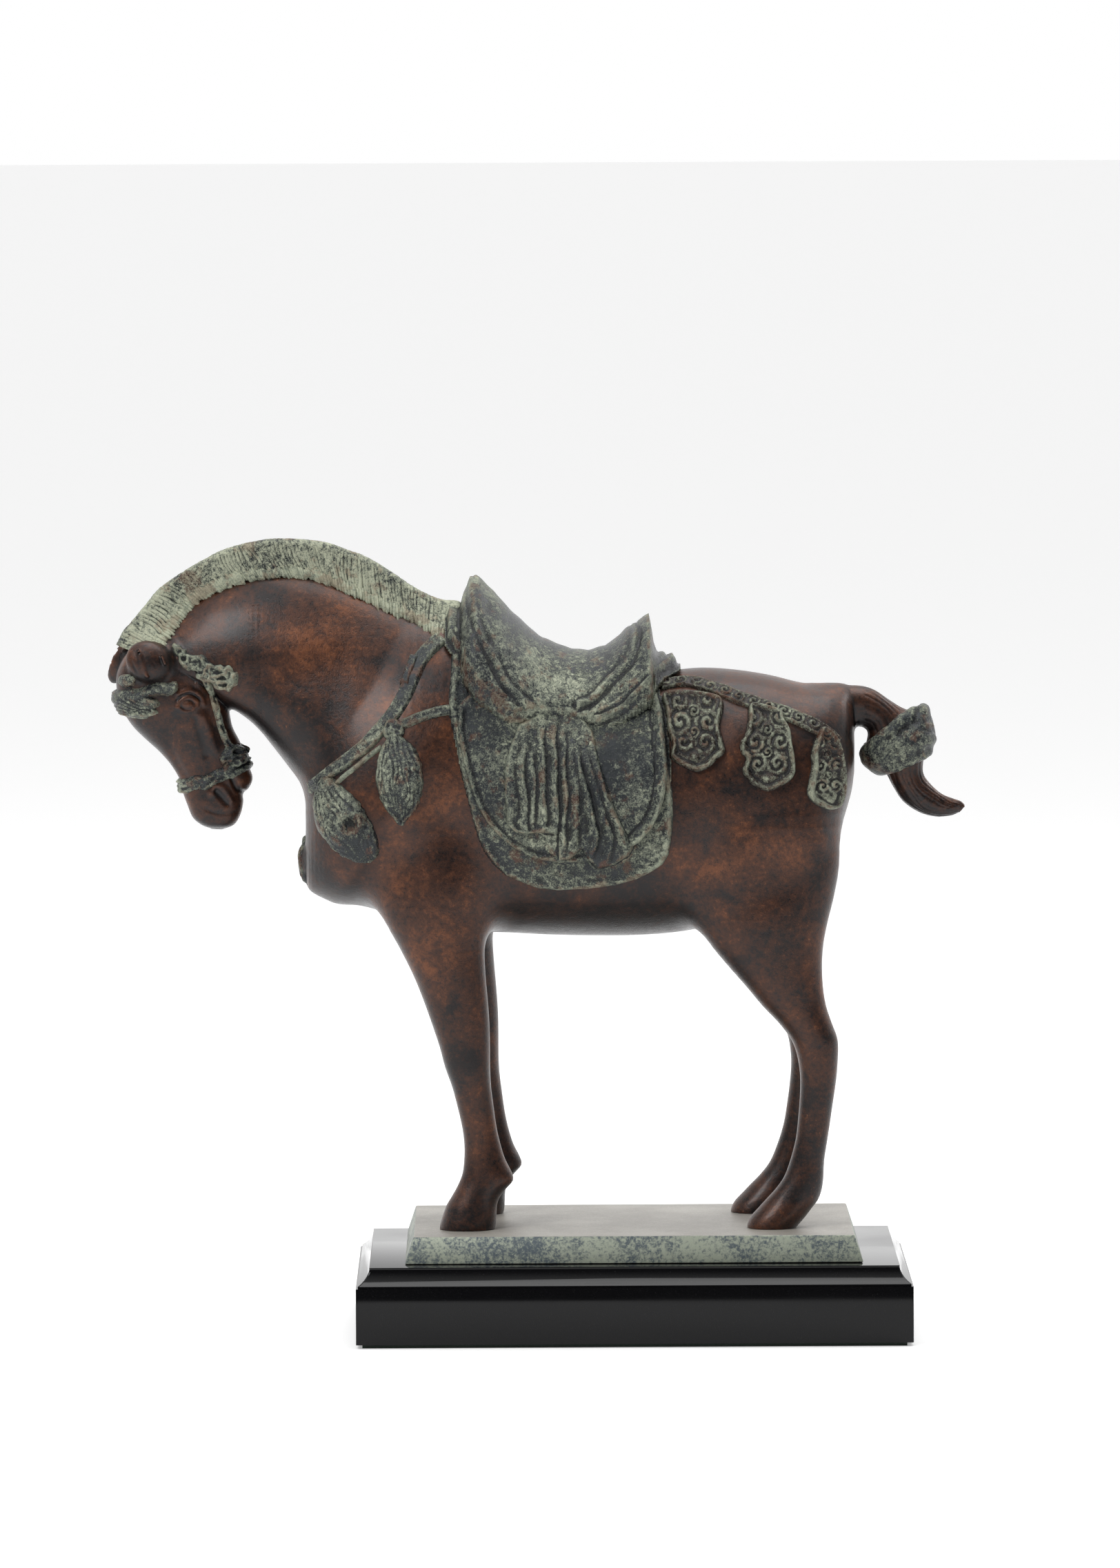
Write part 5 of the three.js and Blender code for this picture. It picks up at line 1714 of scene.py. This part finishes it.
def rectangle_rings(rows, corner):
    """Rings of points and their faces, from the half length, half depth and height of each rectangle."""
    turn = np.linspace(0, np.pi / 2, 6)
    points = []
    for half_x, half_y, z in rows:
        r = min(corner, half_x, half_y)
        for quarter, (sx, sy) in enumerate(((1, 1), (-1, 1), (-1, -1), (1, -1))):
            angle = turn + quarter * np.pi / 2
            x, y = sx * (half_x - r) + r * np.cos(angle), sy * (half_y - r) + r * np.sin(angle)
            points.append(np.stack([x, y, np.full(6, z)], 1))
    around = 24
    points = np.vstack(points)
    number = np.arange(len(points)).reshape(-1, around)
    ring = np.roll(number, -1, axis=1)
    quads = np.stack([number[:-1], ring[:-1], ring[1:], number[1:]], -1).reshape(-1, 4)
    return points, quads, number[0][::-1], number[-1]


def block_mesh(name, rows, corner):
    """A moulded block: its profile rounded over, its ends closed flat."""
    points, quads, bottom, top = rectangle_rings(rows, corner)
    work = bmesh.new()
    corners = [work.verts.new(Vector(point) * MM) for point in points]
    for quad in quads:
        work.faces.new([corners[i] for i in quad])
    for end in (bottom, top):
        work.faces.new([corners[i] for i in end])
    bmesh.ops.recalc_face_normals(work, faces=work.faces)
    mesh = bpy.data.meshes.new(name)
    work.to_mesh(mesh)
    work.free()
    return mesh


def profile_piece(name, profile, corner, radius, material):
    """Makes a block from how far its profile is drawn in and its heights, with softened edges."""
    low, high = (Vector(v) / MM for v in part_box(name))
    half_x, half_y = (high.x - low.x) / 2, (high.y - low.y) / 2
    rows = [(half_x - inset, half_y - inset, low.z + rise) for inset, rise in profile]
    mesh = block_mesh(name, rows, corner)
    piece = bpy.data.objects.new(name + "_blank", mesh)
    bpy.context.scene.collection.objects.link(piece)
    bevel = piece.modifiers.new("edges", "BEVEL")
    bevel.width, bevel.segments = radius * MM, 3
    bevel.limit_method, bevel.angle_limit = "ANGLE", math.radians(25)
    baked = bpy.data.meshes.new_from_object(piece.evaluated_get(bpy.context.evaluated_depsgraph_get()))
    bpy.data.objects.remove(piece)
    for polygon in baked.polygons:
        polygon.use_smooth = True
    baked.set_sharp_from_angle(angle=math.radians(32))
    finished(name, baked, material, [name])


# How far in and how high each point of the plinth's moulding is.
COVE = [(1.75, 1.1), (3.5, 2.6), (5, 4.4), (6, 6.1), (6.4, 7.4)]
COVE_DRAWN_IN = 0.86
BEAD_IN, BEAD_HEIGHT = 0.9, 1.1
LEDGE_IN = 6.4
COVE_HEIGHT, CAP_HEIGHT = 7.4, 8.3
PLATE_DRAFT = 4.1


class STATUE_OT_base(bpy.types.Operator):
    """Makes the bevelled plate, the moulded plinth, its felt and the fasteners' finish"""

    bl_idname = "statue.base"
    bl_label = "Base"

    def execute(self, context):
        plate_low, plate_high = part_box("base_plate")
        plinth_low, plinth_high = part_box("plinth")
        height = (plate_high.z - plate_low.z) / MM
        profile_piece("base_plate", [(0, 0), (PLATE_DRAFT, height)], 0.6, 0.5, plate_bronze())
        block = (plinth_high.z - plinth_low.z) / MM - CAP_HEIGHT
        mould = [(0, 0), (0, block - BEAD_HEIGHT), (BEAD_IN, block - BEAD_HEIGHT), (BEAD_IN, block)]
        mould += [(BEAD_IN + inset * COVE_DRAWN_IN, block + rise) for inset, rise in COVE]
        mould += [(LEDGE_IN, block + COVE_HEIGHT), (LEDGE_IN, block + CAP_HEIGHT)]
        profile_piece("plinth", mould, 0.8, 0.3, black_lacquer())
        steel = zinc_steel()
        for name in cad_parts:
            if name.endswith(("_stud", "_washer", "_nut")) or name.startswith("plinth_"):
                bpy.data.objects[name].material_slots[0].material = steel
        bpy.data.objects["felt_pad"].material_slots[0].material = green_felt()
        return {"FINISHED"}


def studio_light():
    """A white studio: bright overhead and behind, dimmer in front."""
    world = bpy.data.worlds.new("studio")
    world.use_nodes = True
    tree = world.node_tree
    place = tree.nodes.new("ShaderNodeTexCoord")
    parts = tree.nodes.new("ShaderNodeSeparateXYZ")
    tree.links.new(place.outputs["Generated"], parts.inputs[0])
    ahead, above = Wire(tree, parts.outputs["Y"]), Wire(tree, parts.outputs["Z"])
    level = tree.nodes.new("ShaderNodeMapRange")
    connect(tree, level.inputs["Value"], ahead + above * 0.7)
    level.interpolation_type = "SMOOTHSTEP"
    for key, value in (("From Min", -0.5), ("From Max", 0.75), ("To Min", 0.06), ("To Max", 1.0)):
        level.inputs[key].default_value = value
    tree.links.new(level.outputs[0], tree.nodes["Background"].inputs["Strength"])
    tree.nodes["Background"].inputs["Color"].default_value = (1, 1, 1, 1)
    return world


# Each soft light: its name, place in metres, power in watts and size in metres.
LIGHTS = [
    ("key", (-1.2, -1.5, 1.9), 34, 0.9),
    ("top", (0.3, 0.2, 2.4), 30, 1.6),
    ("edge", (1.4, 1.4, 1.1), 6, 0.8),
]
LIT_POINT = (-0.05, 0, 0.2)
VIEWPOINT = (-0.0536, -4.9411, 0.6369)
TILT, YAW, ROLL = (math.radians(angle) for angle in (4.35, 0.229, -0.274))
LENS, SENSOR = 237.4, 36


class STATUE_OT_stage(bpy.types.Operator):
    """Sets the floor, the soft lights and the camera"""

    bl_idname = "statue.stage"
    bl_label = "Studio"

    def execute(self, context):
        floor_mesh = bpy.data.meshes.new("floor")
        work = bmesh.new()
        bmesh.ops.create_grid(work, x_segments=1, y_segments=1, size=60)
        work.to_mesh(floor_mesh)
        work.free()
        floor = bpy.data.objects.new("floor", floor_mesh)
        floor_mesh.materials.append(pale_floor())
        context.scene.collection.objects.link(floor)
        floor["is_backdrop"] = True

        context.scene.world = studio_light()
        middle = Vector(LIT_POINT)
        for name, place, power, size in LIGHTS:
            light = bpy.data.lights.new(name, "AREA")
            light.energy, light.size = power, size
            lamp = bpy.data.objects.new(name, light)
            lamp.location = place
            lamp.rotation_euler = (middle - Vector(place)).to_track_quat("-Z", "Y").to_euler()
            context.scene.collection.objects.link(lamp)

        ahead = Vector((math.sin(YAW) * math.cos(TILT), math.cos(YAW) * math.cos(TILT), -math.sin(TILT)))
        level = Vector((math.cos(YAW), -math.sin(YAW), 0))
        upright = level.cross(ahead)
        right = math.cos(ROLL) * level + math.sin(ROLL) * upright
        up = math.cos(ROLL) * upright - math.sin(ROLL) * level
        lens = bpy.data.cameras.new("camera")
        lens.lens, lens.sensor_width, lens.clip_end = LENS, SENSOR, 40
        camera = bpy.data.objects.new("camera", lens)
        turned = Matrix((right, up, -ahead)).transposed().to_4x4()
        camera.matrix_world = Matrix.Translation(VIEWPOINT) @ turned
        context.scene.collection.objects.link(camera)
        context.scene.camera = camera
        context.scene.view_settings.view_transform = "Standard"
        return {"FINISHED"}


OPERATORS = [STATUE_OT_castings, STATUE_OT_saddle, STATUE_OT_harness, STATUE_OT_mane, STATUE_OT_bridle,
             STATUE_OT_base, STATUE_OT_stage]


class STATUE_PT_panel(bpy.types.Panel):
    """Shows the statue's settings and its operators in the sidebar"""

    bl_label = "Bronze horse"
    bl_space_type = "VIEW_3D"
    bl_region_type = "UI"
    bl_category = "Bronze horse"

    def draw(self, context):
        for key in StatueSettings.__annotations__:
            self.layout.prop(context.scene.statue, key)
        for operator in OPERATORS:
            self.layout.operator(operator.bl_idname)


CLASSES = [StatueSettings, *OPERATORS, STATUE_PT_panel]


def register():
    """Makes the settings, operators and panel known."""
    for each in CLASSES:
        bpy.utils.register_class(each)
    bpy.types.Scene.statue = bpy.props.PointerProperty(type=StatueSettings)


def unregister():
    """Takes them away again."""
    del bpy.types.Scene.statue
    for each in reversed(CLASSES):
        bpy.utils.unregister_class(each)


def main():
    """Builds the statue, then works out the box round its own shown pieces."""
    register()
    for operator in OPERATORS:
        getattr(bpy.ops.statue, operator.bl_idname.split(".")[1])()
    visual_box = [list(corner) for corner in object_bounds()]


if __name__ == "__main__":
    main()
